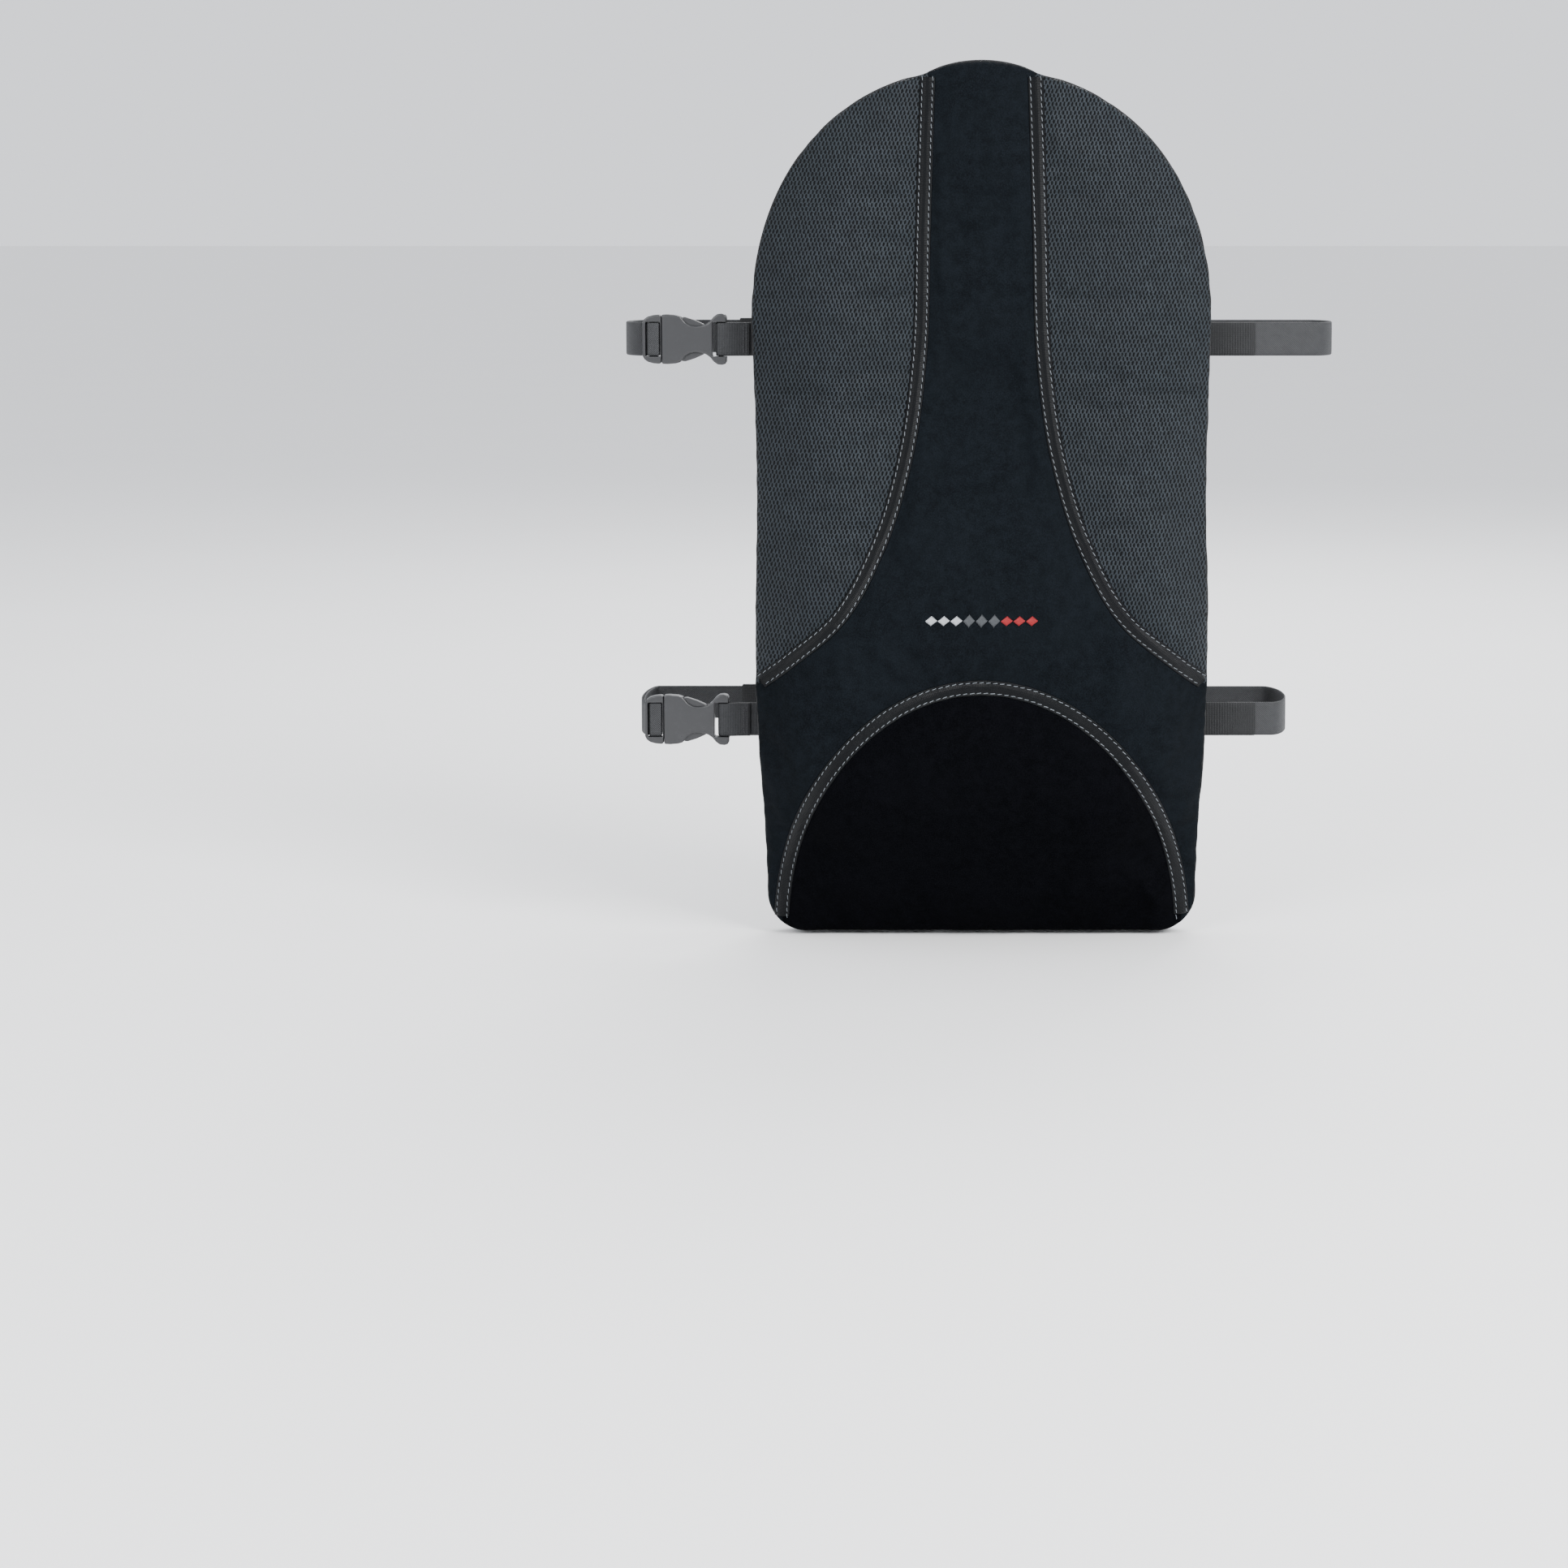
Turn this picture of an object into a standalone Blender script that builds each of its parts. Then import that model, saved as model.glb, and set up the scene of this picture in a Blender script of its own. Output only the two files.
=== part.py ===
"""Back cushion with an arched lumbar section, held to a chair back by two buckled belts.

Metres, +Z up. The front faces -Y and +X is the viewer's right. Shapes are drawn with Z measured up
from the hem; the empty "cushion" carries every piece and puts the origin on the rear rest.
Plan shapes are written in millimetres and scaled by MM where a mesh is made.
"""

import math

import bmesh
import bpy
import numpy as np
from mathutils import Matrix, Vector
from mathutils.geometry import delaunay_2d_cdt

MM = 0.001
GAP = 0.35  # clearance between pieces that touch

# Outline of the cushion, half widths and heights above the hem
HEIGHT = 650.0
SHOULDER_Z = 455.0
SHOULDER_HALF = 170.4
DOME_POWER = 2.2
CROWN_RISE = 6.0  # the centre panel swells above the dome between the bands
CROWN_HALF = 44.0
SIDE_STATIONS = ((170.4, 455.0), (166.8, 335.0), (167.2, 190.0), (161.8, 75.0), (161.0, 30.0))
CORNER_RADIUS = 30.0

# Seams, as (half distance, height) on the centre line of the side bands, and the arch's semi-axes
SIDE_SEAM = (
    (39.0, 656.0),
    (43.0, 520.0),
    (45.3, 438.0),
    (55.7, 360.0),
    (75.6, 295.0),
    (104.0, 244.0),
    (139.0, 213.0),
    (176.0, 184.0),
)
ARCH_HALF = 150.0
ARCH_RISE = 194.0
BAND_WIDTH = 11.6
BAND_PROUD = 1.2

# Depth: the rear face is flat but for a hollow behind the lumbar section
HOLLOW_DEPTH = 24.0
HOLLOW_STATIONS = (48.0, 130.0, 250.0, 410.0)  # heights where it starts, is full, ends, is flat
BELT_RECESS = 2.0  # the rear is set in by this much up to the belt's top, so the belt lies flush
RECESS_STATIONS = (463.0, 475.0)
RIM_DEPTH = 26.0
DEPTH_STATIONS = ((0.0, 46.0), (70.0, 56.0), (190.0, 70.0), (330.0, 57.0), (480.0, 47.0), (650.0, 36.0))
EDGE_ROUNDING = 70.0
LUMBAR_SWELL = 8.0
LUMBAR_ROUNDING = 60.0
SEAM_GROOVE = 2.0
SEAM_GROOVE_HALF = 10.0
CLOTH = 2.0

# Inside
WADDING = 1.2  # room between the cover and the foam
SHELL = 4.0
SHELL_INSET = 14.0
SHELL_FOOT = 56.0
SHELL_HEAD = 630.0
FOAM_INSET = 4.5
PAD_THICKNESS = 16.0
PAD_INSET = 14.0
PAD_FOOT = 24.0
WINDOWS = ((0.0, 470.0, 44.0, 92.0), (0.0, 205.0, 86.0, 48.0))  # x, z, half width, half height

# Zip across the rear, just above the hem
ZIP_Z = 26.0
ZIP_HALF = 118.0
ZIP_SLOT_HALF = 6.0
CHAIN_HALF = 2.7
TAPE_WIDTH = 13.0
SLIDER_X = 110.0
SLIDER_LENGTH = 12.0

# Belts: 25 mm webbing
WEB_WIDTH = 25.0
WEB = 1.4
ANCHOR_X = 120.0
LAP_START = 184.0
LAP_END = 204.0
LOOP_REAR = 62.0  # the loop's far run lies this far behind the rear face's flat parts
BELTS = (
    # name, height, buckle's place, left and right reach of the loop, depth of its left bend along X
    ("upper", 444.0, -190.0, -268.0, 264.0, 14.0),
    ("lower", 161.0, -188.5, -257.0, 230.0, 6.0),
)
RIGHT_BEND = 14.0
JOIN_X = -130.0  # where the far run meets the stretch that bends
TAIL_END_X = -150.0
TAIL_STEP = 1.8
BUCKLE_SET = 0.9  # the buckle's mid plane lies this far in front of the webbing's
KEEPER_X = -176.0
KEEPER_LENGTH = 18.0

# Side-release buckle, measured along -X from the tips of the female half's ears
FEMALE_LENGTH = 48.5
FEMALE_THICK = 9.0
CAVITY_HALF = 15.0
CAVITY_THICK = 6.0
CAVITY_START = 14.0
WINDOW_END = 34.4
BAR_MIDDLE = 4.7
BAR_HALF = 1.5
BAR_THICK = 2.7
WEB_CLEAR = 12.9  # half height of every slot that webbing passes through
MALE_START = 48.9
MALE_END = 62.9
MALE_THICK = 8.0
INNER_SLOT = (49.6, 52.2)
OUTER_SLOT = (57.6, 60.6)
LADDER_THICK = 3.0
LATCH_THICK = 5.2
LATCH_ROOT = 45.6
PRONG_HINGE = (46.4, 10.4)

ORIGIN_Z = 510.0  # height of the rear rest, above the upper belt

BLACK_KNIT = (0.012, 0.014, 0.017)
GREY_MESH = (0.045, 0.058, 0.070)
BAND_GREY = (0.030, 0.033, 0.038)
REAR_BLACK = (0.010, 0.010, 0.011)
BELT_GREY = (0.045, 0.046, 0.048)
BUCKLE_GREY = (0.040, 0.040, 0.042)
FOAM_CREAM = (0.62, 0.57, 0.45)
PAD_BLUE = (0.20, 0.26, 0.33)
SHELL_GREY = (0.18, 0.19, 0.20)
ZIP_METAL = (0.35, 0.35, 0.36)


def clear_scene():
    """Removes every object of the scene."""
    for obj in list(bpy.data.objects):
        bpy.data.objects.remove(obj, do_unlink=True)


def material(name, colour, roughness, metallic=0.0):
    """A plain Principled material."""
    made = bpy.data.materials.new(name)
    made.use_nodes = True
    shader = made.node_tree.nodes["Principled BSDF"]
    shader.inputs["Base Color"].default_value = (*colour, 1.0)
    shader.inputs["Roughness"].default_value = roughness
    shader.inputs["Metallic"].default_value = metallic
    made.diffuse_color = (*colour, 1.0)
    return made


def add_object(name, shape, look, parent, smooth=30.0):
    """Makes an object from a bmesh drawn in millimetres, with its own copy of a look."""
    bmesh.ops.scale(shape, vec=(MM, MM, MM), verts=shape.verts)
    mesh = bpy.data.meshes.new(name)
    shape.to_mesh(mesh)
    shape.free()
    mesh.shade_smooth()
    mesh.set_sharp_from_angle(angle=math.radians(smooth))
    mesh.materials.append(material(name, *look))
    obj = bpy.data.objects.new(name, mesh)
    bpy.context.scene.collection.objects.link(obj)
    obj.parent = parent
    return obj


def place(name, parent, x=0.0, y=0.0, z=0.0):
    """An empty at a point given in millimetres."""
    empty = bpy.data.objects.new(name, None)
    bpy.context.scene.collection.objects.link(empty)
    empty.parent = parent
    empty.location = (x * MM, y * MM, z * MM)
    return empty


# ---- curves in the plane of the front face -------------------------------------------------------


def through(stations, count):
    """A smooth curve through a few points, as count points along it."""
    knots = np.array(stations, float)
    chords = np.linalg.norm(np.diff(knots, axis=0), axis=1)
    at = np.concatenate([[0.0], np.cumsum(chords)])
    slopes = np.gradient(knots, at, axis=0)
    wanted = np.linspace(0.0, at[-1], count)
    cell = np.clip(np.searchsorted(at, wanted, side="right") - 1, 0, len(chords) - 1)
    span = chords[cell]
    u = ((wanted - at[cell]) / span)[:, None]
    span = span[:, None]
    start = (1 + 2 * u) * (1 - u) ** 2 * knots[cell] + u * (1 - u) ** 2 * span * slopes[cell]
    end = u**2 * (3 - 2 * u) * knots[cell + 1] + u**2 * (u - 1) * span * slopes[cell + 1]
    return start + end


def ease(value):
    """A smooth step from 0 to 1."""
    value = np.clip(value, 0.0, 1.0)
    return value * value * (3.0 - 2.0 * value)


def dome(count):
    """The right half of the domed top, from the shoulder up to the centre line."""
    turn = np.linspace(0.0, 0.5 * math.pi, count)
    x = SHOULDER_HALF * np.maximum(np.cos(turn), 0.0) ** (2.0 / DOME_POWER)
    z = SHOULDER_Z + (HEIGHT - CROWN_RISE - SHOULDER_Z) * np.sin(turn) ** (2.0 / DOME_POWER)
    z += CROWN_RISE * np.clip(1.0 - (x / CROWN_HALF) ** 2, 0.0, 1.0)
    x[-1] = 0.0
    return np.column_stack([x, z])


def outline():
    """The cushion's closed outline, counter-clockwise seen from the front."""
    corner_x = SIDE_STATIONS[-1][0] - CORNER_RADIUS
    turn = np.linspace(-0.5 * math.pi, 0.0, 6)
    corner = np.column_stack(
        [corner_x + CORNER_RADIUS * np.cos(turn), CORNER_RADIUS * (1.0 + np.sin(turn))]
    )
    side = through(SIDE_STATIONS, 80)[::-1]
    heights = np.sort(np.append(LEVELS[LEVELS < SHOULDER_Z], 190.0))
    side = np.column_stack([np.interp(heights, side[:, 1], side[:, 0]), heights])
    top = dome(16)
    heights = LEVELS[LEVELS > SHOULDER_Z]
    extra = np.column_stack([np.interp(heights, top[:, 1], top[:, 0]), heights])
    top = np.vstack([top, extra])
    top = top[np.argsort(top[:, 1], kind="stable")]
    right = np.vstack([corner, side, top])
    left = right[::-1][1:] * (-1.0, 1.0)
    return np.vstack([right, left])


def shift(line, offset, closed=False):
    """A line moved to its left by an offset, point by point."""
    before = np.roll(line, 1, axis=0)
    after = np.roll(line, -1, axis=0)
    if not closed:
        before[0] = line[0]
        after[-1] = line[-1]
    along = after - before
    along /= np.linalg.norm(along, axis=1)[:, None]
    return line + offset * np.column_stack([-along[:, 1], along[:, 0]])


def distance(points, line, closed=False):
    """Distance from each point to a line."""
    start = line if closed else line[:-1]
    end = np.roll(line, -1, axis=0) if closed else line[1:]
    along = end - start
    reach = ((points[:, None] - start) * along).sum(2) / (along * along).sum(1)
    foot = start + np.clip(reach, 0.0, 1.0)[..., None] * along
    return np.linalg.norm(points[:, None] - foot, axis=2).min(1)


def within(points, loop):
    """Whether each point lies inside a closed loop."""
    inside = np.zeros(len(points), bool)
    for (x0, z0), (x1, z1) in zip(loop, np.roll(loop, -1, axis=0)):
        if z0 == z1:
            continue
        crosses = (points[:, 1] > min(z0, z1)) & (points[:, 1] <= max(z0, z1))
        inside ^= crosses & (points[:, 0] < x0 + (points[:, 1] - z0) * (x1 - x0) / (z1 - z0))
    return inside


LEVELS = np.concatenate(
    [np.linspace(*HOLLOW_STATIONS[:2], 5), np.linspace(*HOLLOW_STATIONS[2:], 6), RECESS_STATIONS]
)
REACH = SHOULDER_HALF + 10.0
LEVEL_LINES = [(np.array([(-REACH, z), (REACH, z)]), False) for z in LEVELS]
OUTLINE = outline()
RIGHT_SEAM = through(SIDE_SEAM, 30)
LEFT_SEAM = RIGHT_SEAM * (-1.0, 1.0)
ARCH_TURN = np.linspace(-0.06, math.pi + 0.06, 44)
ARCH = np.column_stack([ARCH_HALF * np.cos(ARCH_TURN), ARCH_RISE * np.sin(ARCH_TURN)])


def rear(points):
    """Y of the rear face, in straight facets between the levels."""
    start, full, end, flat = HOLLOW_STATIONS
    below = -HOLLOW_DEPTH * ease((LEVELS - start) / (full - start))
    recess = np.where(LEVELS < RECESS_STATIONS[1], -BELT_RECESS, 0.0)
    above = recess - (HOLLOW_DEPTH - BELT_RECESS) * (1.0 - ease((LEVELS - end) / (flat - end)))
    return np.interp(points[:, 1], LEVELS, np.where(LEVELS < end, below, above))


def smooth_front(points):
    """Y of the front face without the seam grooves."""
    stations = np.array(DEPTH_STATIONS)
    z = np.linspace(0.0, HEIGHT, 66)
    curve = np.interp(z, stations[:, 0], stations[:, 1])
    curve = np.convolve(np.pad(curve, 5, mode="edge"), np.full(11, 1.0 / 11.0), mode="valid")
    depth = np.interp(points[:, 1], z, curve)
    edge = distance(points, OUTLINE, closed=True)
    dome_over = 1.0 - (1.0 - np.clip(edge / EDGE_ROUNDING, 0.0, 1.0)) ** 2
    from_arch = np.where(within(points, ARCH), distance(points, ARCH), 0.0)
    swell = 1.0 - (1.0 - np.clip(from_arch / LUMBAR_ROUNDING, 0.0, 1.0)) ** 2
    swell *= np.clip(edge / EDGE_ROUNDING, 0.0, 1.0)
    return rear(points) - RIM_DEPTH - (depth - RIM_DEPTH) * dome_over - LUMBAR_SWELL * swell


def front(points):
    """Y of the cover's front face."""
    seams = np.minimum(distance(points, RIGHT_SEAM), distance(points, LEFT_SEAM))
    seams = np.minimum(seams, distance(points, ARCH))
    edge = distance(points, OUTLINE, closed=True)
    fade = np.clip(edge / SEAM_GROOVE_HALF, 0.0, 1.0)
    return smooth_front(points) + SEAM_GROOVE * fade * np.exp(-((seams / SEAM_GROOVE_HALF) ** 2))


# ---- sheets and slabs that follow the faces ------------------------------------------------------


def triangulate(lines, spacing):
    """Triangles over the plane of the face, with edges along every line.

    Each line is (points, closed). Returns the points and the triangles' corners.
    """
    xs = np.arange(-math.ceil(175.0 / spacing), math.ceil(175.0 / spacing) + 1) * spacing
    rows = np.arange(0.5 * spacing, HEIGHT, spacing * math.sqrt(0.75))
    lattice = [(x + 0.5 * spacing * (row % 2), z) for row, z in enumerate(rows) for x in xs]
    lattice = np.array(lattice)
    for line, closed in lines:
        lattice = lattice[distance(lattice, line, closed) > 0.42 * spacing]
    points, edges = [Vector(p) for p in lattice], []
    for line, closed in lines:
        first = len(points)
        points += [Vector(p) for p in line]
        edges += [(first + i, first + i + 1) for i in range(len(line) - 1)]
        if closed:
            edges.append((first + len(line) - 1, first))
    verts, _, faces, *_ = delaunay_2d_cdt(points, edges, [], 0, 0.02)
    return np.array([tuple(v) for v in verts]), np.array([tuple(f) for f in faces])


def largest_piece(triangles):
    """The biggest group of triangles that share edges."""
    owners = {}
    for index, corners in enumerate(triangles):
        for a, b in zip(corners, np.roll(corners, -1)):
            owners.setdefault(frozenset((int(a), int(b))), []).append(index)
    near = [[] for _ in triangles]
    for pair in owners.values():
        if len(pair) == 2:
            near[pair[0]].append(pair[1])
            near[pair[1]].append(pair[0])
    unseen, best = set(range(len(triangles))), []
    while unseen:
        stack, group = [min(unseen)], []
        unseen.discard(stack[0])
        while stack:
            index = stack.pop()
            group.append(index)
            for other in near[index]:
                if other in unseen:
                    unseen.discard(other)
                    stack.append(other)
        best = max(best, group, key=len)
    return triangles[sorted(best)]


def slab(points, triangles, front_y, rear_y):
    """A closed body over some triangles, between two faces given as Y for each point."""
    used = np.unique(triangles)
    shape = bmesh.new()
    fore = {i: shape.verts.new((points[i][0], front_y[i], points[i][1])) for i in used}
    aft = {i: shape.verts.new((points[i][0], rear_y[i], points[i][1])) for i in used}
    directed = set()
    for a, b, c in triangles:
        shape.faces.new((fore[a], fore[b], fore[c]))
        shape.faces.new((aft[c], aft[b], aft[a]))
        directed |= {(a, b), (b, c), (c, a)}
    for a, b in sorted(directed):
        if (b, a) not in directed:
            shape.faces.new((fore[b], fore[a], aft[a], aft[b]))
    return shape


def pick(points, triangles, test):
    """The largest group of triangles whose middles pass a test."""
    return largest_piece(triangles[test(points[triangles].mean(1))])


def build_front_cover(root):
    """The four cloth panels of the front and the bands over their seams."""
    half = 0.5 * BAND_WIDTH
    lines = [(OUTLINE, True)]
    for seam in (RIGHT_SEAM, LEFT_SEAM, ARCH):
        lines += [(shift(seam, side * (half + extra)), False) for side in (-1, 1) for extra in (0.0, GAP)]
    points, triangles = triangulate(lines, 27.0)
    skin = front(points)

    seams = {"right": RIGHT_SEAM, "left": LEFT_SEAM, "arch": ARCH}

    def off_bands(middles):
        far = within(middles, OUTLINE)
        for seam in seams.values():
            far &= distance(middles, seam) > half + 0.9 * GAP
        return far

    def outside(middles, side):
        seam_x = np.interp(-middles[:, 1], -RIGHT_SEAM[:, 1], RIGHT_SEAM[:, 0])
        return side * middles[:, 0] > seam_x

    def under_arch(middles):
        return within(middles, ARCH)

    panels = {
        "side_panel_left": lambda m: off_bands(m) & outside(m, -1),
        "side_panel_right": lambda m: off_bands(m) & outside(m, 1),
        "centre_panel": lambda m: off_bands(m) & ~outside(m, -1) & ~outside(m, 1) & ~under_arch(m),
        "lumbar_panel": lambda m: off_bands(m) & under_arch(m),
    }
    for name, test in panels.items():
        colour = GREY_MESH if name.startswith("side") else BLACK_KNIT
        body = slab(points, pick(points, triangles, test), skin, skin + CLOTH)
        add_object(name, body, (colour, 0.9), root)
    for side, seam in seams.items():
        chosen = pick(
            points, triangles, lambda m: within(m, OUTLINE) & (distance(m, seam) < half + 0.1 * GAP)
        )
        body = slab(points, chosen, skin - BAND_PROUD, skin + CLOTH)
        add_object(f"trim_band_{side}", body, (BAND_GREY, 0.55), root)


def build_motif(root):
    """The thin embroidered strip above the arch."""
    turn = np.linspace(0.0, 2.0 * math.pi, 33)[:-1]
    loop = np.column_stack([44.0 * np.cos(turn), 240.0 + 6.5 * np.sin(turn)])
    points, triangles = triangulate([(loop, True)], 20.0)
    chosen = pick(points, triangles, lambda m: within(m, loop))
    skin = front(points)
    add_object("front_motif", slab(points, chosen, skin - 1.5, skin - 0.7), ((0.5, 0.5, 0.5), 0.6), root)


def build_gusset(root):
    """The boxing strip between the front and rear cloth: sides and top, and the hem's own strip."""
    inner = shift(OUTLINE, CLOTH, closed=True)
    fore = rear(OUTLINE) - RIM_DEPTH + CLOTH + GAP
    aft = rear(OUTLINE) - CLOTH - GAP
    count = len(OUTLINE)
    last_corner = 3  # the hem strip runs between the middles of the bottom corners
    runs = {
        "side_gusset": [i % count for i in range(last_corner, count - last_corner)],
        "hem_gusset": [i % count for i in range(count - last_corner - 1, count + last_corner + 1)],
    }
    for name, run in runs.items():
        shape = bmesh.new()
        rings = []
        for step, i in enumerate(run):
            out, into = OUTLINE[i], inner[i]
            if name == "hem_gusset" and step in (0, len(run) - 1):
                # The side strip starts at this point, so the hem strip stops a hair short of it.
                onward = OUTLINE[run[1 if step == 0 else -2]] - out
                back_off = GAP * onward / np.linalg.norm(onward)
                out, into = out + back_off, into + back_off
            rings.append(
                [
                    shape.verts.new((out[0], fore[i], out[1])),
                    shape.verts.new((into[0], fore[i], into[1])),
                    shape.verts.new((into[0], aft[i], into[1])),
                    shape.verts.new((out[0], aft[i], out[1])),
                ]
            )
        close_tube(shape, rings)
        add_object(name, shape, (REAR_BLACK, 0.9), root)


def close_tube(shape, rings):
    """Faces between neighbouring rings of points, and a cap at each end."""
    for here, there in zip(rings, rings[1:]):
        for k in range(len(here)):
            j = (k + 1) % len(here)
            shape.faces.new((here[k], here[j], there[j], there[k]))
    shape.faces.new(rings[0][::-1])
    shape.faces.new(rings[-1])
    bmesh.ops.recalc_face_normals(shape, faces=shape.faces)


def build_rear_cover(root):
    """The rear cloth in two pieces, with the slot between them for the zip."""
    slot_end = ZIP_HALF + 6.0
    slot = ((-slot_end, -1), (slot_end, -1), (slot_end, 1), (-slot_end, 1))
    slot = np.array([(x, ZIP_Z + side * ZIP_SLOT_HALF) for x, side in slot])
    splits = [
        (np.array([(side * slot_end, ZIP_Z + up * 0.5 * GAP), (side * REACH, ZIP_Z + up * 0.5 * GAP)]), False)
        for side in (-1, 1)
        for up in (-1, 1)
    ]
    points, triangles = triangulate([(OUTLINE, True), (slot, True)] + splits + LEVEL_LINES, 60.0)
    face = rear(points)

    def cloth(middles):
        seam = (np.abs(middles[:, 0]) > slot_end) & (np.abs(middles[:, 1] - ZIP_Z) < 0.45 * GAP)
        return within(middles, OUTLINE) & ~within(middles, slot) & ~seam

    for name, side in (("back_panel_upper", 1), ("back_panel_lower", -1)):
        chosen = pick(points, triangles, lambda m: cloth(m) & (side * (m[:, 1] - ZIP_Z) > 0.0))
        add_object(name, slab(points, chosen, face - CLOTH, face), (REAR_BLACK, 0.9), root)


def build_inside(root):
    """The moulded shell, the foam over it and the firmer pad let into the foam."""
    rim = shift(OUTLINE, SHELL_INSET, closed=True)
    rim[:, 1] = np.clip(rim[:, 1], SHELL_FOOT, SHELL_HEAD)
    turn = np.linspace(0.0, 2.0 * math.pi, 21)[:-1]
    holes = [
        np.column_stack(
            [
                x + half_x * np.sign(np.cos(turn)) * np.abs(np.cos(turn)) ** 0.6,
                z + half_z * np.sign(np.sin(turn)) * np.abs(np.sin(turn)) ** 0.6,
            ]
        )
        for x, z, half_x, half_z in WINDOWS
    ]
    rim = rim[np.linalg.norm(rim - np.roll(rim, 1, axis=0), axis=1) > 2.0]
    points, triangles = triangulate([(rim, True)] + [(hole, True) for hole in holes] + LEVEL_LINES, 40.0)
    chosen = pick(
        points, triangles, lambda m: within(m, rim) & ~within(m, holes[0]) & ~within(m, holes[1])
    )
    face = rear(points) - CLOTH - 0.8
    add_object("support_frame", slab(points, chosen, face - SHELL, face), (SHELL_GREY, 0.5), root)

    clear = SEAM_GROOVE + CLOTH + WADDING
    foam_rim = shift(OUTLINE, FOAM_INSET, closed=True)
    pad = arch_inside(PAD_INSET)
    pocket = arch_inside(PAD_INSET - 1.5)
    lip = arch_inside(PAD_INSET - 3.5)
    lines = [(foam_rim, True), (pocket, True), (lip, True)] + LEVEL_LINES
    points, triangles = triangulate(lines, 36.0)
    chosen = pick(points, triangles, lambda m: within(m, foam_rim))
    skin = smooth_front(points) + clear
    inside_pocket = within(points, lip) & (distance(points, lip, closed=True) > 0.5)
    skin = skin + np.where(inside_pocket, PAD_THICKNESS + 1.2, 0.0)
    face = rear(points) - CLOTH - 0.8 - SHELL - 1.0
    add_object("comfort_foam", slab(points, chosen, skin, face), (FOAM_CREAM, 0.95), root)

    points, triangles = triangulate([(pad, True)], 34.0)
    chosen = pick(points, triangles, lambda m: within(m, pad))
    skin = smooth_front(points) + clear
    add_object("lumbar_foam", slab(points, chosen, skin, skin + PAD_THICKNESS), (PAD_BLUE, 0.95), root)


def arch_inside(inset):
    """The arch drawn smaller by an inset, closed along a level line above the hem."""
    turn = np.linspace(0.0, math.pi, 21)
    foot = PAD_FOOT + inset - PAD_INSET
    x = (ARCH_HALF - inset) * np.cos(turn)
    z = foot + (ARCH_RISE - inset - foot) * np.sin(turn) ** 0.85
    return np.column_stack([x, z])


# ---- boxes and plates ----------------------------------------------------------------------------


def box(low, high):
    """A box between two corners."""
    shape = bmesh.new()
    size = Vector(high) - Vector(low)
    middle = 0.5 * (Vector(high) + Vector(low))
    matrix = Matrix.Translation(middle) @ Matrix.Diagonal((*size, 1.0))
    bmesh.ops.create_cube(shape, size=1.0, matrix=matrix)
    return shape


def plate(loop, half_thickness):
    """A flat plate from a closed plan in X and Z, centred on Y = 0."""
    shape = bmesh.new()
    face = shape.faces.new([shape.verts.new((x, -half_thickness, z)) for x, z in loop])
    made = bmesh.ops.extrude_face_region(shape, geom=[face])
    moved = [item for item in made["geom"] if isinstance(item, bmesh.types.BMVert)]
    bmesh.ops.translate(shape, vec=(0.0, 2.0 * half_thickness, 0.0), verts=moved)
    bmesh.ops.recalc_face_normals(shape, faces=shape.faces)
    return shape


def soften(obj, width, angle=50.0):
    """A small bevel on the sharp edges."""
    bevel = obj.modifiers.new("softened edges", "BEVEL")
    bevel.width = width * MM
    bevel.segments = 2
    bevel.limit_method = "ANGLE"
    bevel.angle_limit = math.radians(angle)


def cut(obj, name, low, high, parent):
    """Takes a box out of an object."""
    modifier = obj.modifiers.new(f"cut {name}", "BOOLEAN")
    modifier.operation = "DIFFERENCE"
    modifier.solver = "EXACT"
    modifier.object = hidden_cutter(name, box(low, high), parent)


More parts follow.
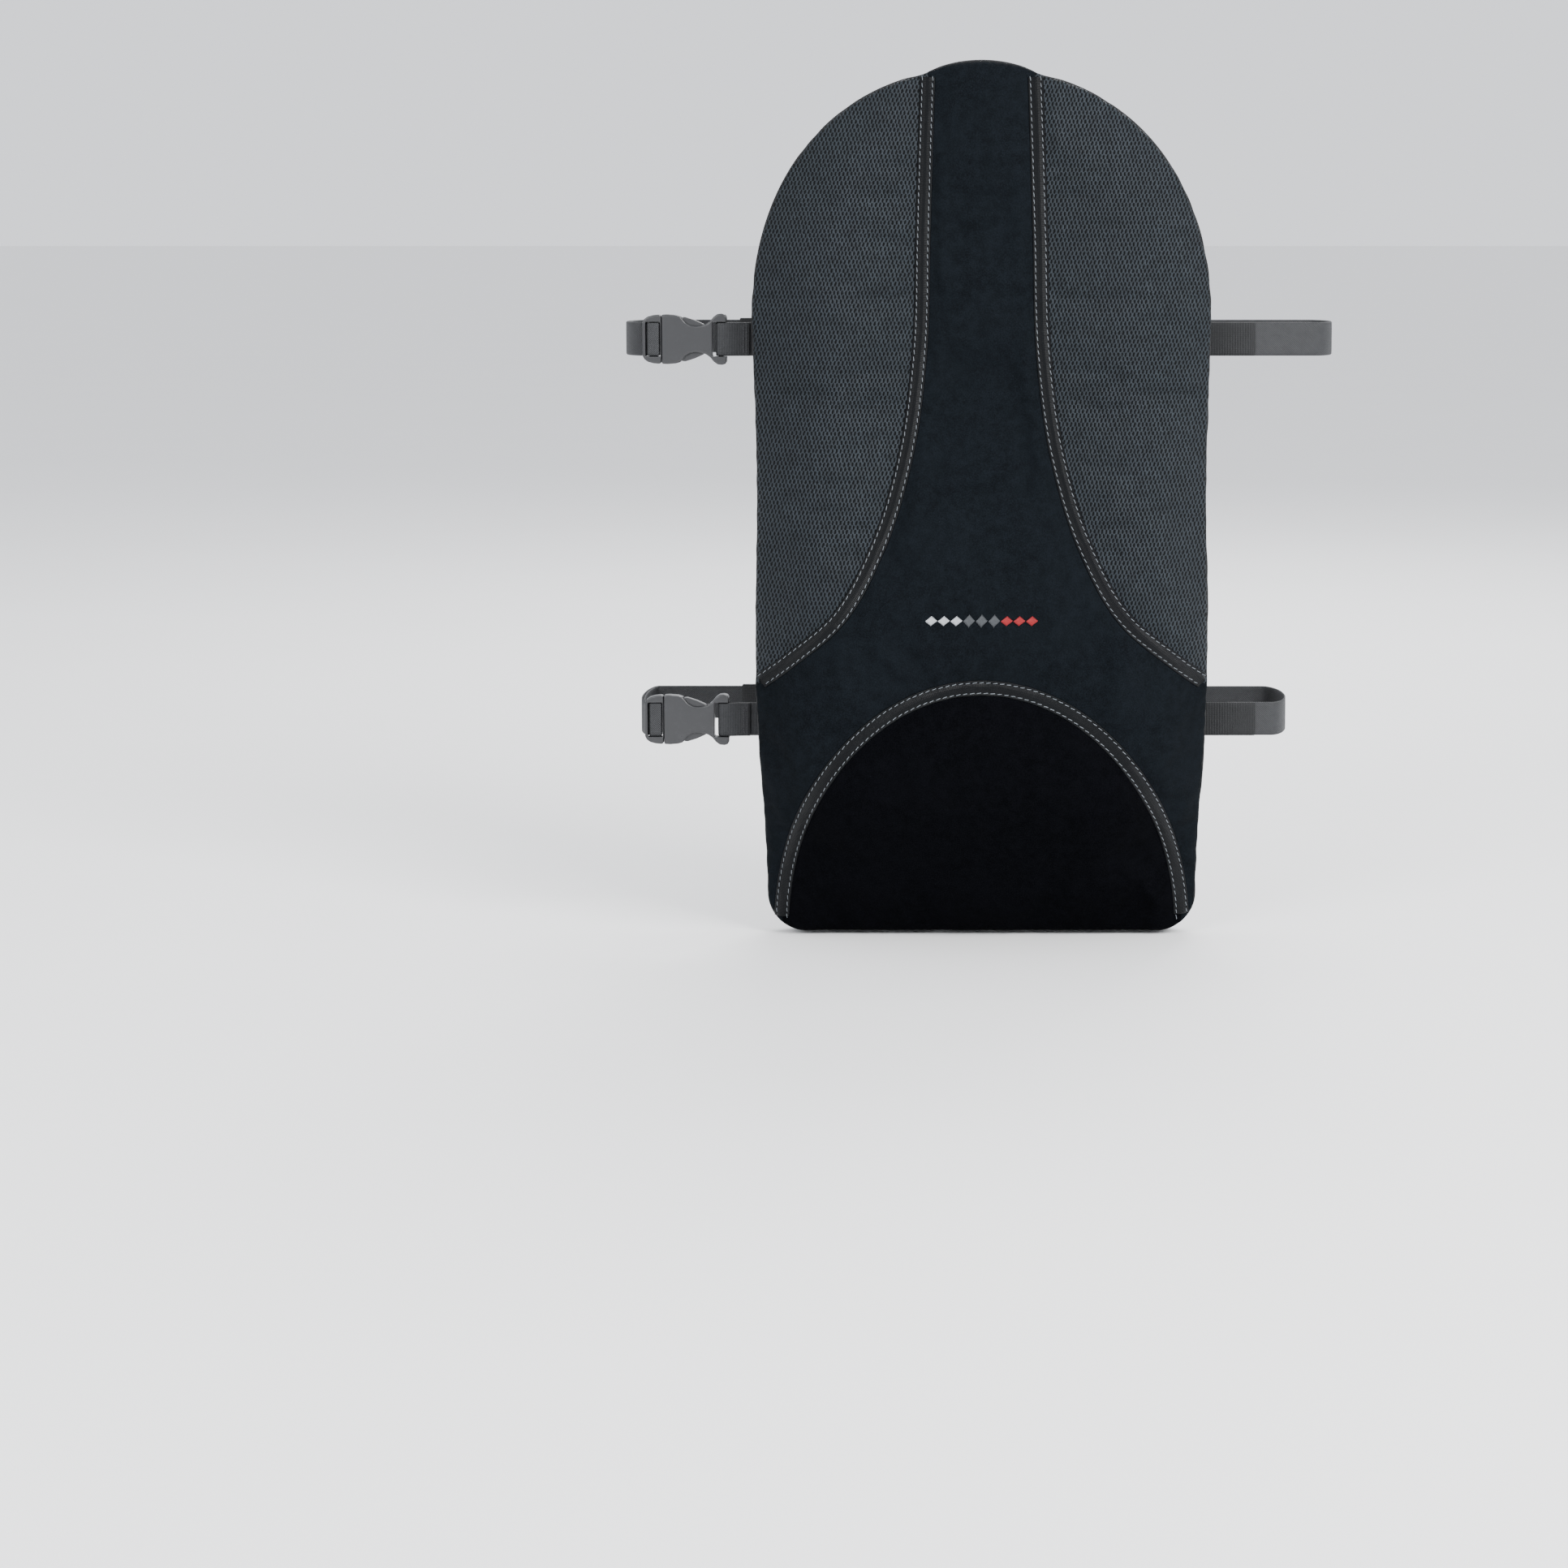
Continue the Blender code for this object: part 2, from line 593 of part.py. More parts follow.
def build_zip(root):
    """The zip in the slot of the rear cloth: tapes, chain, stops, slider and pull."""
    face = -CLOTH - GAP
    for name, side in (("zip_tape_lower", -1), ("zip_tape_upper", 1)):
        near = ZIP_Z + side * (CHAIN_HALF + GAP)
        far = ZIP_Z + side * (CHAIN_HALF + TAPE_WIDTH)
        low = (-ZIP_HALF - 4.0, face - 1.1, min(near, far))
        high = (ZIP_HALF + 4.0, face, max(near, far))
        add_object(name, box(low, high), (REAR_BLACK, 0.8), root)
    low = (-ZIP_HALF + 4.5, -3.6, ZIP_Z - CHAIN_HALF)
    high = (ZIP_HALF - 4.5, -1.0, ZIP_Z + CHAIN_HALF)
    chain = add_object("zip_chain", box(low, high), (REAR_BLACK, 0.4), root)
    soften(chain, 0.5)
    for name, side in (("zip_stop_left", -1), ("zip_stop_right", 1)):
        ends = sorted((side * (ZIP_HALF - 4.0), side * (ZIP_HALF - 1.0)))
        low = (ends[0], -3.6, ZIP_Z - CHAIN_HALF)
        high = (ends[1], -0.7, ZIP_Z + CHAIN_HALF)
        add_object(name, box(low, high), (ZIP_METAL, 0.35, 1.0), root)

    home = place("slider_home", root, SLIDER_X - 3.0, 0.0, ZIP_Z)
    half = 0.5 * SLIDER_LENGTH
    plan = [(-half, -3.2), (-half + 3.0, -4.6), (half, -4.6), (half, 4.6), (-half + 3.0, 4.6), (-half, 3.2)]
    body = plate(plan, 1.8)
    bmesh.ops.translate(body, vec=(0.0, -0.1, 0.0), verts=body.verts)
    slider = add_object("zip_slider", body, (ZIP_METAL, 0.35, 1.0), home)
    cut(slider, "chain_way", (-20.0, -5.0, -CHAIN_HALF - GAP), (20.0, -0.6, CHAIN_HALF + GAP), home)
    # The bail over the slider, with the pull's eye under it
    fuse(slider, hidden_cutter("bail", box((-4.0, 1.5, -1.1), (4.0, 4.8, 1.1)), home))
    cut(slider, "bail_eye", (-2.2, 1.75, -3.0), (2.2, 4.0, 3.0), home)

    axle = place("pull_axle", home, 0.0, 2.85, 0.0)
    loop = [(-0.7, -4.0), (23.0, -3.2), (23.0, 3.2), (-0.7, 4.0)]
    pull = add_object("zip_pull", plate(loop, 0.6), (ZIP_METAL, 0.35, 1.0), axle)
    cut(pull, "pull_eye", (0.7, -3.0, -1.6), (7.0, 3.0, 1.6), axle)


# ---- belts ---------------------------------------------------------------------------------------


def arc(centre, radii, start, end, count):
    """Points on an ellipse between two angles in degrees."""
    turn = np.radians(np.linspace(start, end, count))
    return np.column_stack([centre[0] + radii[0] * np.cos(turn), centre[1] + radii[1] * np.sin(turn)])


def rounded(corners, radius, count=5):
    """A path with each inner corner replaced by an arc that touches both runs."""
    corners = np.array(corners, float)
    path = [corners[0]]
    for before, here, after in zip(corners, corners[1:], corners[2:]):
        into = (before - here) / np.linalg.norm(before - here)
        out = (after - here) / np.linalg.norm(after - here)
        half_angle = 0.5 * math.acos(np.clip(into @ out, -1.0, 1.0))
        reach = radius / math.tan(half_angle)
        start, end = here + into * reach, here + out * reach
        centre = here + (into + out) / np.linalg.norm(into + out) * radius / math.sin(half_angle)
        first, last = start - centre, end - centre
        sweep = math.atan2(first[0] * last[1] - first[1] * last[0], first @ last)
        for k in range(count):
            spin = sweep * k / (count - 1)
            rotation = np.array([[math.cos(spin), -math.sin(spin)], [math.sin(spin), math.cos(spin)]])
            path.append(centre + rotation @ first)
    path.append(corners[-1])
    return np.array(path)


def ribbon(path, thickness, width):
    """A flat strip along a path in X and Y, centred on Z = 0."""
    steps = np.linalg.norm(np.diff(path, axis=0), axis=1)
    path = path[np.concatenate([[True], steps > 0.02])]
    unit = np.diff(path, axis=0)
    unit /= np.linalg.norm(unit, axis=1)[:, None]
    along = np.empty_like(path)
    along[1:-1] = unit[:-1] + unit[1:]
    along[0], along[-1] = unit[0], unit[-1]
    along /= np.linalg.norm(along, axis=1)[:, None]
    across = np.column_stack([-along[:, 1], along[:, 0]])
    stretch = np.ones(len(path))
    leaning = (along[1:-1] * unit[:-1]).sum(1)  # a bend's own corner reaches a little further out
    stretch[1:-1] = 1.0 / np.maximum(leaning, 0.5)
    offset = 0.5 * thickness * across * stretch[:, None]
    shape = bmesh.new()
    rings = []
    for near, far in zip(path - offset, path + offset):
        rings.append(
            [shape.verts.new((*side, z)) for side, z in ((near, -1), (far, -1), (far, 1), (near, 1))]
        )
        for vert in rings[-1]:
            vert.co.z *= 0.5 * width
    close_tube(shape, rings)
    return shape


def build_webbing(name, belt, buckle_x, left, right, bend, deep):
    """The cloth parts of one belt. Y = 0 here is the rear face where the belt is sewn on."""
    far = LOOP_REAR - deep
    skin = 0.5 * WEB + GAP
    bar_x = buckle_x - BAR_MIDDLE
    bar_y = skin - BUCKLE_SET
    tab = np.vstack(
        [
            [(-ANCHOR_X, skin), (-176.0, skin)],
            [(bar_x + 3.5, bar_y + 3.05)],
            arc((bar_x, bar_y), (3.05, 3.05), 90.0, 270.0, 9),
            [(bar_x + 3.5, bar_y - 3.05), (-177.5, skin - WEB - 0.4)],
            [(-173.0, skin - WEB - 0.4)],
        ]
    )
    look = (BELT_GREY, 0.8)
    add_object(f"{name}_buckle_tab", ribbon(tab, WEB, WEB_WIDTH), look, belt)
    elastic = np.array([(ANCHOR_X, skin), (150.0, skin), (LAP_END, skin)])
    add_object(f"{name}_elastic", ribbon(elastic, WEB, WEB_WIDTH), look, belt)

    lap_y = skin + WEB + 0.4
    middle = 0.5 * (lap_y + far)
    wrap = arc((right - RIGHT_BEND, middle), (RIGHT_BEND, far - middle), -90.0, 90.0, 13)
    run = np.vstack([[(LAP_START, lap_y), (LAP_END, lap_y)], wrap, [(60.0, far), (JOIN_X, far)]])
    add_object(f"{name}_strap_run", ribbon(run, WEB, WEB_WIDTH), look, belt)

    # The stretch that bends: far run, round the left side, through the ladder lock, and the tail
    load_y = bar_y + 4.6
    tail_y = load_y - TAIL_STEP
    up_x, down_x = buckle_x - 0.5 * sum(INNER_SLOT), buckle_x - 0.5 * sum(OUTER_SLOT)
    over_y = bar_y - 2.6
    bend_x = left + bend + TAIL_STEP
    middle = 0.5 * (load_y + far)
    wrap = arc((bend_x, middle), (bend, far - middle), 90.0, 270.0, 15)
    lock = rounded(
        [wrap[-1], (up_x, load_y), (up_x, over_y), (down_x, over_y), (down_x, tail_y), (bend_x, tail_y)],
        1.1,
    )
    middle = 0.5 * (tail_y + far + TAIL_STEP)
    tail_wrap = arc(
        (bend_x, middle),
        (bend + TAIL_STEP, far + TAIL_STEP - middle),
        270.0,
        90.0,
        15,
    )
    end = np.vstack(
        [
            [(JOIN_X - GAP, far)],
            wrap[:-1],
            lock[:-1],
            tail_wrap,
            [(TAIL_END_X, far + TAIL_STEP)],
        ]
    )
    add_object(f"{name}_strap_end", ribbon(end, WEB, WEB_WIDTH), look, belt)
    build_keeper(name, belt, far)


def build_keeper(name, belt, far):
    """The elastic loop round both layers of webbing behind the chair."""
    clear = 0.5 * WEB + GAP
    low = (KEEPER_X - 0.5 * KEEPER_LENGTH, far - clear - 1.0, -0.5 * WEB_WIDTH - GAP - 1.0)
    high = (KEEPER_X + 0.5 * KEEPER_LENGTH, far + TAIL_STEP + clear + 1.0, 0.5 * WEB_WIDTH + GAP + 1.0)
    keeper = add_object(f"{name}_keeper", box(low, high), (BELT_GREY, 0.8), belt)
    low = (low[0] - 2.0, low[1] + 1.0, low[2] + 1.0)
    high = (high[0] + 2.0, high[1] - 1.0, high[2] - 1.0)
    cut(keeper, f"{name}_keeper_way", low, high, belt)


def mirrored(half_plan):
    """A closed plan from its upper half, given along -X from the bar end."""
    upper = [(-x, z) for x, z in half_plan]
    return upper + [(x, -z) for x, z in reversed(upper)]


def hidden_cutter(name, shape, parent):
    """A helper body for a Boolean, left out of the model."""
    helper = add_object(f"cutter_{name}", shape, (SHELL_GREY, 0.5), parent)
    helper.hide_render = True
    helper.display_type = "WIRE"
    return helper


def fuse(obj, helper):
    """Adds a helper body to an object."""
    joined = obj.modifiers.new(helper.name.removeprefix("cutter_"), "BOOLEAN")
    joined.operation = "UNION"
    joined.solver = "EXACT"
    joined.object = helper


def slot_through(start, end):
    """The corners of a slot for webbing, between two places along the buckle."""
    return (-end, -FEMALE_THICK, -WEB_CLEAR), (-start, FEMALE_THICK, WEB_CLEAR)


def build_buckle(name, belt, buckle_x):
    """Both halves of the buckle and its two spring prongs."""
    look = (BUCKLE_GREY, 0.45)
    centre = place(f"{name}_buckle", belt, buckle_x, 0.5 * WEB + GAP - BUCKLE_SET, 0.0)
    ears = [(0.0, 16.6), (1.0, 18.4), (3.5, 19.2), (7.0, 18.8), (10.0, 16.6), (12.5, 13.4)]
    waist = [(15.5, 11.3), (19.0, 10.2), (23.0, 9.8), (27.0, 10.4), (30.5, 12.4), (33.0, 15.4)]
    mouth = [(34.8, 17.2), (38.0, 18.1), (44.0, 18.6), (FEMALE_LENGTH, 18.4)]
    plan = mirrored(ears + waist + mouth)
    female = add_object(f"{name}_buckle_female", plate(plan, 0.5 * FEMALE_THICK), look, centre)
    soften(female, 0.9)
    tall = FEMALE_THICK
    cavity = 0.5 * CAVITY_THICK
    bar = 0.5 * BAR_THICK
    inner_edge = -BAR_MIDDLE - BAR_HALF
    outer_edge = -BAR_MIDDLE + BAR_HALF
    cuts = {
        "cavity": ((-60.0, -cavity, -CAVITY_HALF), (-CAVITY_START, cavity, CAVITY_HALF)),
        "windows": ((-WINDOW_END, -cavity, -30.0), (-CAVITY_START, cavity, 30.0)),
        "slot": slot_through(-inner_edge, 10.8),
        "bar_front": ((inner_edge - 1.0, -tall, -WEB_CLEAR), (5.0, -bar, WEB_CLEAR)),
        "bar_rear": ((inner_edge - 1.0, bar, -WEB_CLEAR), (5.0, tall, WEB_CLEAR)),
        "ears": ((outer_edge, -tall, -WEB_CLEAR), (5.0, tall, WEB_CLEAR)),
    }
    for label, (low, high) in cuts.items():
        cut(female, f"{name}_{label}", low, high, centre)

    slide = place(f"{name}_male_slide", centre)
    plan = [(MALE_START, 17.8), (50.5, 18.4), (55.0, 18.0), (59.0, 16.9), (61.6, 15.0), (MALE_END, 12.4)]
    male = add_object(f"{name}_buckle_male", plate(mirrored(plan), 0.5 * MALE_THICK), look, slide)
    soften(male, 0.8)
    half = 0.5 * LATCH_THICK
    root_plan = mirrored([(LATCH_ROOT, 14.4), (INNER_SLOT[0] - 0.2, 14.4)])
    fuse(male, hidden_cutter(f"{name}_latch_root", plate(root_plan, half), slide))
    tongue_plan = mirrored([(21.0, 2.2), (22.5, 3.6), (LATCH_ROOT + 1.0, 3.6)])
    fuse(male, hidden_cutter(f"{name}_tongue", plate(tongue_plan, half), slide))
    ladder = 0.5 * LADDER_THICK
    cuts = {
        "inner_slot": slot_through(*INNER_SLOT),
        "outer_slot": slot_through(*OUTER_SLOT),
        "ladder_front": ((-58.0, -tall, -WEB_CLEAR), (-52.0, -ladder, WEB_CLEAR)),
        "ladder_rear": ((-70.0, ladder, -WEB_CLEAR), (-52.0, tall, WEB_CLEAR)),
    }
    for label, (low, high) in cuts.items():
        cut(male, f"{name}_{label}", low, high, slide)

    hinge_x, hinge_z = PRONG_HINGE
    plan = [(LATCH_ROOT - GAP, 12.2), (35.2, 12.2), (33.6, 16.4), (31.0, 16.6), (24.0, 14.4), (17.4, 11.4)]
    plan += [(16.2, 9.6), (17.4, 8.3), (24.0, 8.6), (LATCH_ROOT - GAP, 8.6)]
    for label, side in (("top", 1), ("bottom", -1)):
        hinge = place(f"{name}_prong_{label}_hinge", slide, -hinge_x, 0.0, side * hinge_z)
        loop = [(hinge_x - x, side * (z - hinge_z)) for x, z in plan]
        prong = add_object(f"{name}_prong_{label}", plate(loop, half), look, hinge)
        soften(prong, 0.4)


def build_belts(root):
    """Both belts, each on an empty at its height and on the rear face there."""
    for name, height, buckle_x, left, right, bend in BELTS:
        deep = float(rear(np.array([[0.0, height]]))[0])
        belt = place(f"{name}_belt", root, 0.0, deep, height)
        build_webbing(name, belt, buckle_x, left, right, bend, deep)
        build_buckle(name, belt, buckle_x)


def main():
    clear_scene()
    root = place("cushion", None, 0.0, 0.0, -ORIGIN_Z)
    build_front_cover(root)
    build_motif(root)
    build_gusset(root)
    build_rear_cover(root)
    build_inside(root)
    build_zip(root)
    build_belts(root)


if __name__ == "__main__":
    main()
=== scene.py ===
"""Back cushion with an arched lumbar section and two buckled belts: its looks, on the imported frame.

Plan shapes are written in millimetres with Z measured up from the hem, and framed() turns them into
metres in the shared frame. The front faces -Y and +X is the viewer's right.
"""

import sys
import logging
import math
from collections.abc import Iterable, Sequence
from dataclasses import dataclass, field
from enum import Enum

import bmesh
import bpy
import numpy as np
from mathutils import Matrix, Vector
from mathutils.bvhtree import BVHTree
from mathutils.geometry import delaunay_2d_cdt


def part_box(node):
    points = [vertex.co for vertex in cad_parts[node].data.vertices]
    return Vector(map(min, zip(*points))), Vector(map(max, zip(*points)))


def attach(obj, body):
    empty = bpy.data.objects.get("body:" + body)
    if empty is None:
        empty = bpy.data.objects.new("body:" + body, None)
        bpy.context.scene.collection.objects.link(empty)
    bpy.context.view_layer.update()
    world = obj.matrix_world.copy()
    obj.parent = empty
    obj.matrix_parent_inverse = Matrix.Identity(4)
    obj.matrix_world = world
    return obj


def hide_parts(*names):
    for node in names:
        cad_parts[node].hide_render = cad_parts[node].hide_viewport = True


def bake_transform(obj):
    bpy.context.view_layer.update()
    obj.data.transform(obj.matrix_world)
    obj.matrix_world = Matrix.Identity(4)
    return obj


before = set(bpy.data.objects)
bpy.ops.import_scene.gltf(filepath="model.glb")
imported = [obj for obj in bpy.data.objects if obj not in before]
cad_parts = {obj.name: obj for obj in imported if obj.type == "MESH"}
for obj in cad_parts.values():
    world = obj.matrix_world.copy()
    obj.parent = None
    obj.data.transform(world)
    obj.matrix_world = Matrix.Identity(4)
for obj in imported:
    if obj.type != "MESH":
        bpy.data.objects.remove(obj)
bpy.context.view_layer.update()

log = logging.getLogger("cushion")

MM = 0.001
ORIGIN_Z = 510.0  # the frame's origin, measured up from the hem
GAP = 0.35  # clearance between pieces that touch
BELT_Z = {"upper": 444.0, "lower": 161.0}
ZIP_Z = 26.0
SHEET_HALF, SHEET_TOP = 178.0, 652.0  # how far triangulate() fills the plane

Points = np.ndarray
Faces = list[tuple[int, ...]]
Colour = tuple[float, float, float]


def framed(points: Points) -> Points:
    """Turns millimetres above the hem into metres in the shared frame.

    Args:
        points: Rows of x, y, z.

    Returns:
        The same rows in metres, with the frame's origin.
    """
    return (np.asarray(points, float) - (0.0, 0.0, ORIGIN_Z)) * MM


# ---- curves in a plane ---------------------------------------------------------------------------


def ease(value: Points) -> Points:
    """A smooth step from 0 to 1."""
    value = np.clip(value, 0.0, 1.0)
    return value * value * (3.0 - 2.0 * value)


def through(stations: Sequence[tuple[float, float]], count: int) -> Points:
    """Draws a smooth curve through a few points.

    Args:
        stations: The points it passes.
        count: How many points to give along it.

    Returns:
        The points along the curve.
    """
    knots = np.array(stations, float)
    chords = np.linalg.norm(np.diff(knots, axis=0), axis=1)
    at = np.concatenate([[0.0], np.cumsum(chords)])
    slopes = np.gradient(knots, at, axis=0)
    wanted = np.linspace(0.0, at[-1], count)
    cell = np.clip(np.searchsorted(at, wanted, side="right") - 1, 0, len(chords) - 1)
    span = chords[cell]
    u = ((wanted - at[cell]) / span)[:, None]
    span = span[:, None]
    start = (1 + 2 * u) * (1 - u) ** 2 * knots[cell] + u * (1 - u) ** 2 * span * slopes[cell]
    end = u**2 * (3 - 2 * u) * knots[cell + 1] + u**2 * (u - 1) * span * slopes[cell + 1]
    return start + end


def evenly(path: Points, step: float, closed: bool = False) -> Points:
    """Spaces points evenly along a path.

    Args:
        path: The path's corners.
        step: The wanted distance between neighbours.
        closed: Whether the path joins its own start.

    Returns:
        The new points. A closed path doesn't repeat its first.
    """
    if closed:
        path = np.vstack([path, path[:1]])
    at = np.concatenate([[0.0], np.cumsum(np.linalg.norm(np.diff(path, axis=0), axis=1))])
    count = max(2, int(round(at[-1] / step)) + 1)
    wanted = np.linspace(0.0, at[-1], count)
    spaced = np.column_stack([np.interp(wanted, at, path[:, k]) for k in range(path.shape[1])])
    return spaced[:-1] if closed else spaced


def finer(path: Points, step: float) -> Points:
    """Adds points to the long runs of a path and keeps its own.

    Args:
        path: The path's corners.
        step: The longest run to leave whole.

    Returns:
        The path with the added points.
    """
    pieces = []
    for start, end in zip(path, path[1:]):
        count = max(1, math.ceil(float(np.linalg.norm(end - start)) / step))
        pieces.append(start + (end - start) * (np.arange(count) / count)[:, None])
    return np.vstack(pieces + [path[-1:]])


def directions(path: Points, closed: bool = False) -> Points:
    """The unit direction along a path at each of its points."""
    before, after = np.roll(path, 1, axis=0), np.roll(path, -1, axis=0)
    if not closed:
        before[0], after[-1] = path[0], path[-1]
    along = after - before
    return along / np.maximum(np.linalg.norm(along, axis=1), 1e-9)[:, None]


def distance(points: Points, line: Points, closed: bool = False) -> Points:
    """Measures how far points lie from a line.

    Args:
        points: Rows of x, z.
        line: The line's corners.
        closed: Whether the line joins its own start.

    Returns:
        One distance for each point.
    """
    start = line if closed else line[:-1]
    end = np.roll(line, -1, axis=0) if closed else line[1:]
    along = end - start
    scale = np.maximum((along * along).sum(1), 1e-12)
    nearest = np.full(len(points), np.inf)
    for first in range(0, len(points), 4000):
        some = points[first : first + 4000]
        reach = np.clip(((some[:, None] - start) * along).sum(2) / scale, 0.0, 1.0)
        foot = start + reach[..., None] * along
        nearest[first : first + 4000] = np.linalg.norm(some[:, None] - foot, axis=2).min(1)
    return nearest


def within(points: Points, loop: Points) -> Points:
    """Whether each point lies inside a closed loop."""
    inside = np.zeros(len(points), bool)
    for (x0, z0), (x1, z1) in zip(loop, np.roll(loop, -1, axis=0)):
        if z0 != z1:
            crosses = (points[:, 1] > min(z0, z1)) & (points[:, 1] <= max(z0, z1))
            inside ^= crosses & (points[:, 0] < x0 + (points[:, 1] - z0) * (x1 - x0) / (z1 - z0))
    return inside


def arc(
    centre: tuple[float, float], radii: tuple[float, float], start: float, end: float, count: int
) -> Points:
    """Draws part of an ellipse.

    Args:
        centre: Its middle.
        radii: Its half axes.
        start: The first angle in degrees.
        end: The last angle in degrees.
        count: How many points to give.

    Returns:
        The points along it.
    """
    turn = np.radians(np.linspace(start, end, count))
    return np.column_stack([centre[0] + radii[0] * np.cos(turn), centre[1] + radii[1] * np.sin(turn)])


def rounded(corners: Sequence[Sequence[float]], radius: float, count: int = 7) -> Points:
    """Rounds the inner corners of a path.

    Args:
        corners: The path's corners.
        radius: The radius of each bend.
        count: How many points each bend gets.

    Returns:
        The rounded path.
    """
    line = np.array(corners, float)
    path = [line[0]]
    for before, here, after in zip(line, line[1:], line[2:]):
        into = (before - here) / np.linalg.norm(before - here)
        out = (after - here) / np.linalg.norm(after - here)
        half_angle = 0.5 * math.acos(float(np.clip(into @ out, -1.0, 1.0)))
        start = here + into * radius / math.tan(half_angle)
        end = here + out * radius / math.tan(half_angle)
        centre = here + (into + out) / np.linalg.norm(into + out) * radius / math.sin(half_angle)
        first, last = start - centre, end - centre
        sweep = math.atan2(first[0] * last[1] - first[1] * last[0], first @ last)
        for k in range(count):
            spin = sweep * k / (count - 1)
            rotation = np.array([[math.cos(spin), -math.sin(spin)], [math.sin(spin), math.cos(spin)]])
            path.append(centre + rotation @ first)
    path.append(line[-1])
    return np.array(path)


def triangulate(lines: Iterable[tuple[Points, bool]], spacing: float) -> tuple[Points, Points]:
    """Fills the plane of the face with triangles.

    Args:
        lines: Lines that edges must follow, each with whether it is closed.
        spacing: The side of the triangles.

    Returns:
        The points, and the corners of each triangle.
    """
    lines = list(lines)
    reach = math.ceil(SHEET_HALF / spacing)
    xs = np.arange(-reach, reach + 1) * spacing
    rows = np.arange(0.4 * spacing, SHEET_TOP, spacing * math.sqrt(0.75))
    lattice = np.array([(x + 0.5 * spacing * (row % 2), z) for row, z in enumerate(rows) for x in xs])
    for line, closed in lines:
        lattice = lattice[distance(lattice, line, closed) > 0.55 * spacing]
    points, edges = [Vector(p) for p in lattice], []
    for line, closed in lines:
        first = len(points)
        points += [Vector(p) for p in line]
        edges += [(first + i, first + i + 1) for i in range(len(line) - 1)]
        if closed:
            edges.append((first + len(line) - 1, first))
    verts, _, faces, *_ = delaunay_2d_cdt(points, edges, [], 0, 0.02)
    return np.array([tuple(v) for v in verts]), np.array([tuple(f) for f in faces])


def rim_of(triangles: Points) -> list[int]:
    """Finds the loop of points round some triangles.

    Args:
        triangles: The corners of each triangle, counter-clockwise.

    Returns:
        The longest loop's points in order.
    """
    directed = {(int(a), int(b)) for t in triangles for a, b in zip(t, np.roll(t, -1))}
    onward = {a: b for a, b in sorted(directed) if (b, a) not in directed}
    best: list[int] = []
    while onward:
        loop = [min(onward)]
        while loop[-1] in onward:
            loop.append(onward.pop(loop[-1]))
        best = max(best, loop[:-1], key=len)
    return best


# ---- finishes ------------------------------------------------------------------------------------


class Desk:
    """Adds nodes to one tree and joins them."""

    def __init__(self, tree: bpy.types.NodeTree) -> None:
        """Takes the tree to work in."""
        self.tree = tree

    def node(self, kind: str, **settings: object) -> bpy.types.Node:
        """Adds a node.

        Args:
            kind: Its type without the leading "ShaderNode".
            settings: Properties to set on it.

        Returns:
            The node.
        """
        made = self.tree.nodes.new(f"ShaderNode{kind}")
        for name, value in settings.items():
            setattr(made, name, value)
        return made

    def feed(self, socket: bpy.types.NodeSocket, value: object) -> None:
        """Links an output to a socket, or sets the socket's own value."""
        if isinstance(value, bpy.types.NodeSocket):
            self.tree.links.new(value, socket)
        else:
            socket.default_value = value

    def maths(self, operation: str, *values: object) -> bpy.types.NodeSocket:
        """Adds a Math node.

        Args:
            operation: Which sum it does.
            values: Numbers or outputs.

        Returns:
            Its output.
        """
        made = self.node("Math", operation=operation)
        for socket, value in zip(made.inputs, values):
            self.feed(socket, value)
        return made.outputs[0]

    def between(
        self, value: object, low: float, high: float, to_low: float = 0.0, to_high: float = 1.0
    ) -> bpy.types.NodeSocket:
        """Maps a range onto another with a smooth step.

        Args:
            value: The output to map.
            low: Where the step starts.
            high: Where it ends.
            to_low: What it gives up to there.
            to_high: What it gives from there on.

        Returns:
            The mapped output.
        """
        made = self.node("MapRange", interpolation_type="SMOOTHSTEP")
        for socket, given in zip(made.inputs, (value, low, high, to_low, to_high)):
            self.feed(socket, given)
        return made.outputs[0]

    def mixed(self, factor: object, first: object, second: object) -> bpy.types.NodeSocket:
        """Mixes two colours.

        Args:
            factor: How much of the second.
            first: A colour or an output.
            second: A colour or an output.

        Returns:
            The mixed colour.
        """
        made = self.node("Mix", data_type="RGBA")
        self.feed(made.inputs[0], factor)
        for socket, value in ((made.inputs[6], first), (made.inputs[7], second)):
            self.feed(socket, (*value, 1.0) if isinstance(value, tuple) else value)
        return made.outputs[2]

    def noise(
        self, where: object, scale: float, detail: float = 2.0, roughness: float = 0.5
    ) -> bpy.types.NodeSocket:
        """Adds noise at a scale per metre.

        Args:
            where: Its coordinates.
            scale: Cells per metre.
            detail: Octaves.
            roughness: How strong the finer octaves are.

        Returns:
            A number near one half.
        """
        made = self.node("TexNoise")
        self.feed(made.inputs["Vector"], where)
        for name, value in (("Scale", scale), ("Detail", detail), ("Roughness", roughness)):
            made.inputs[name].default_value = value
        return made.outputs["Fac"]


class Effect(Enum):
    """The shader node groups that several finishes share."""

    SLITS = "open mesh slits"
    FUZZ = "brushed fibre"
    WEAVE = "plain weave"
    RIBS = "ribs and twill"
    SCUFFS = "scuffs and grain"
    LINT = "lint"


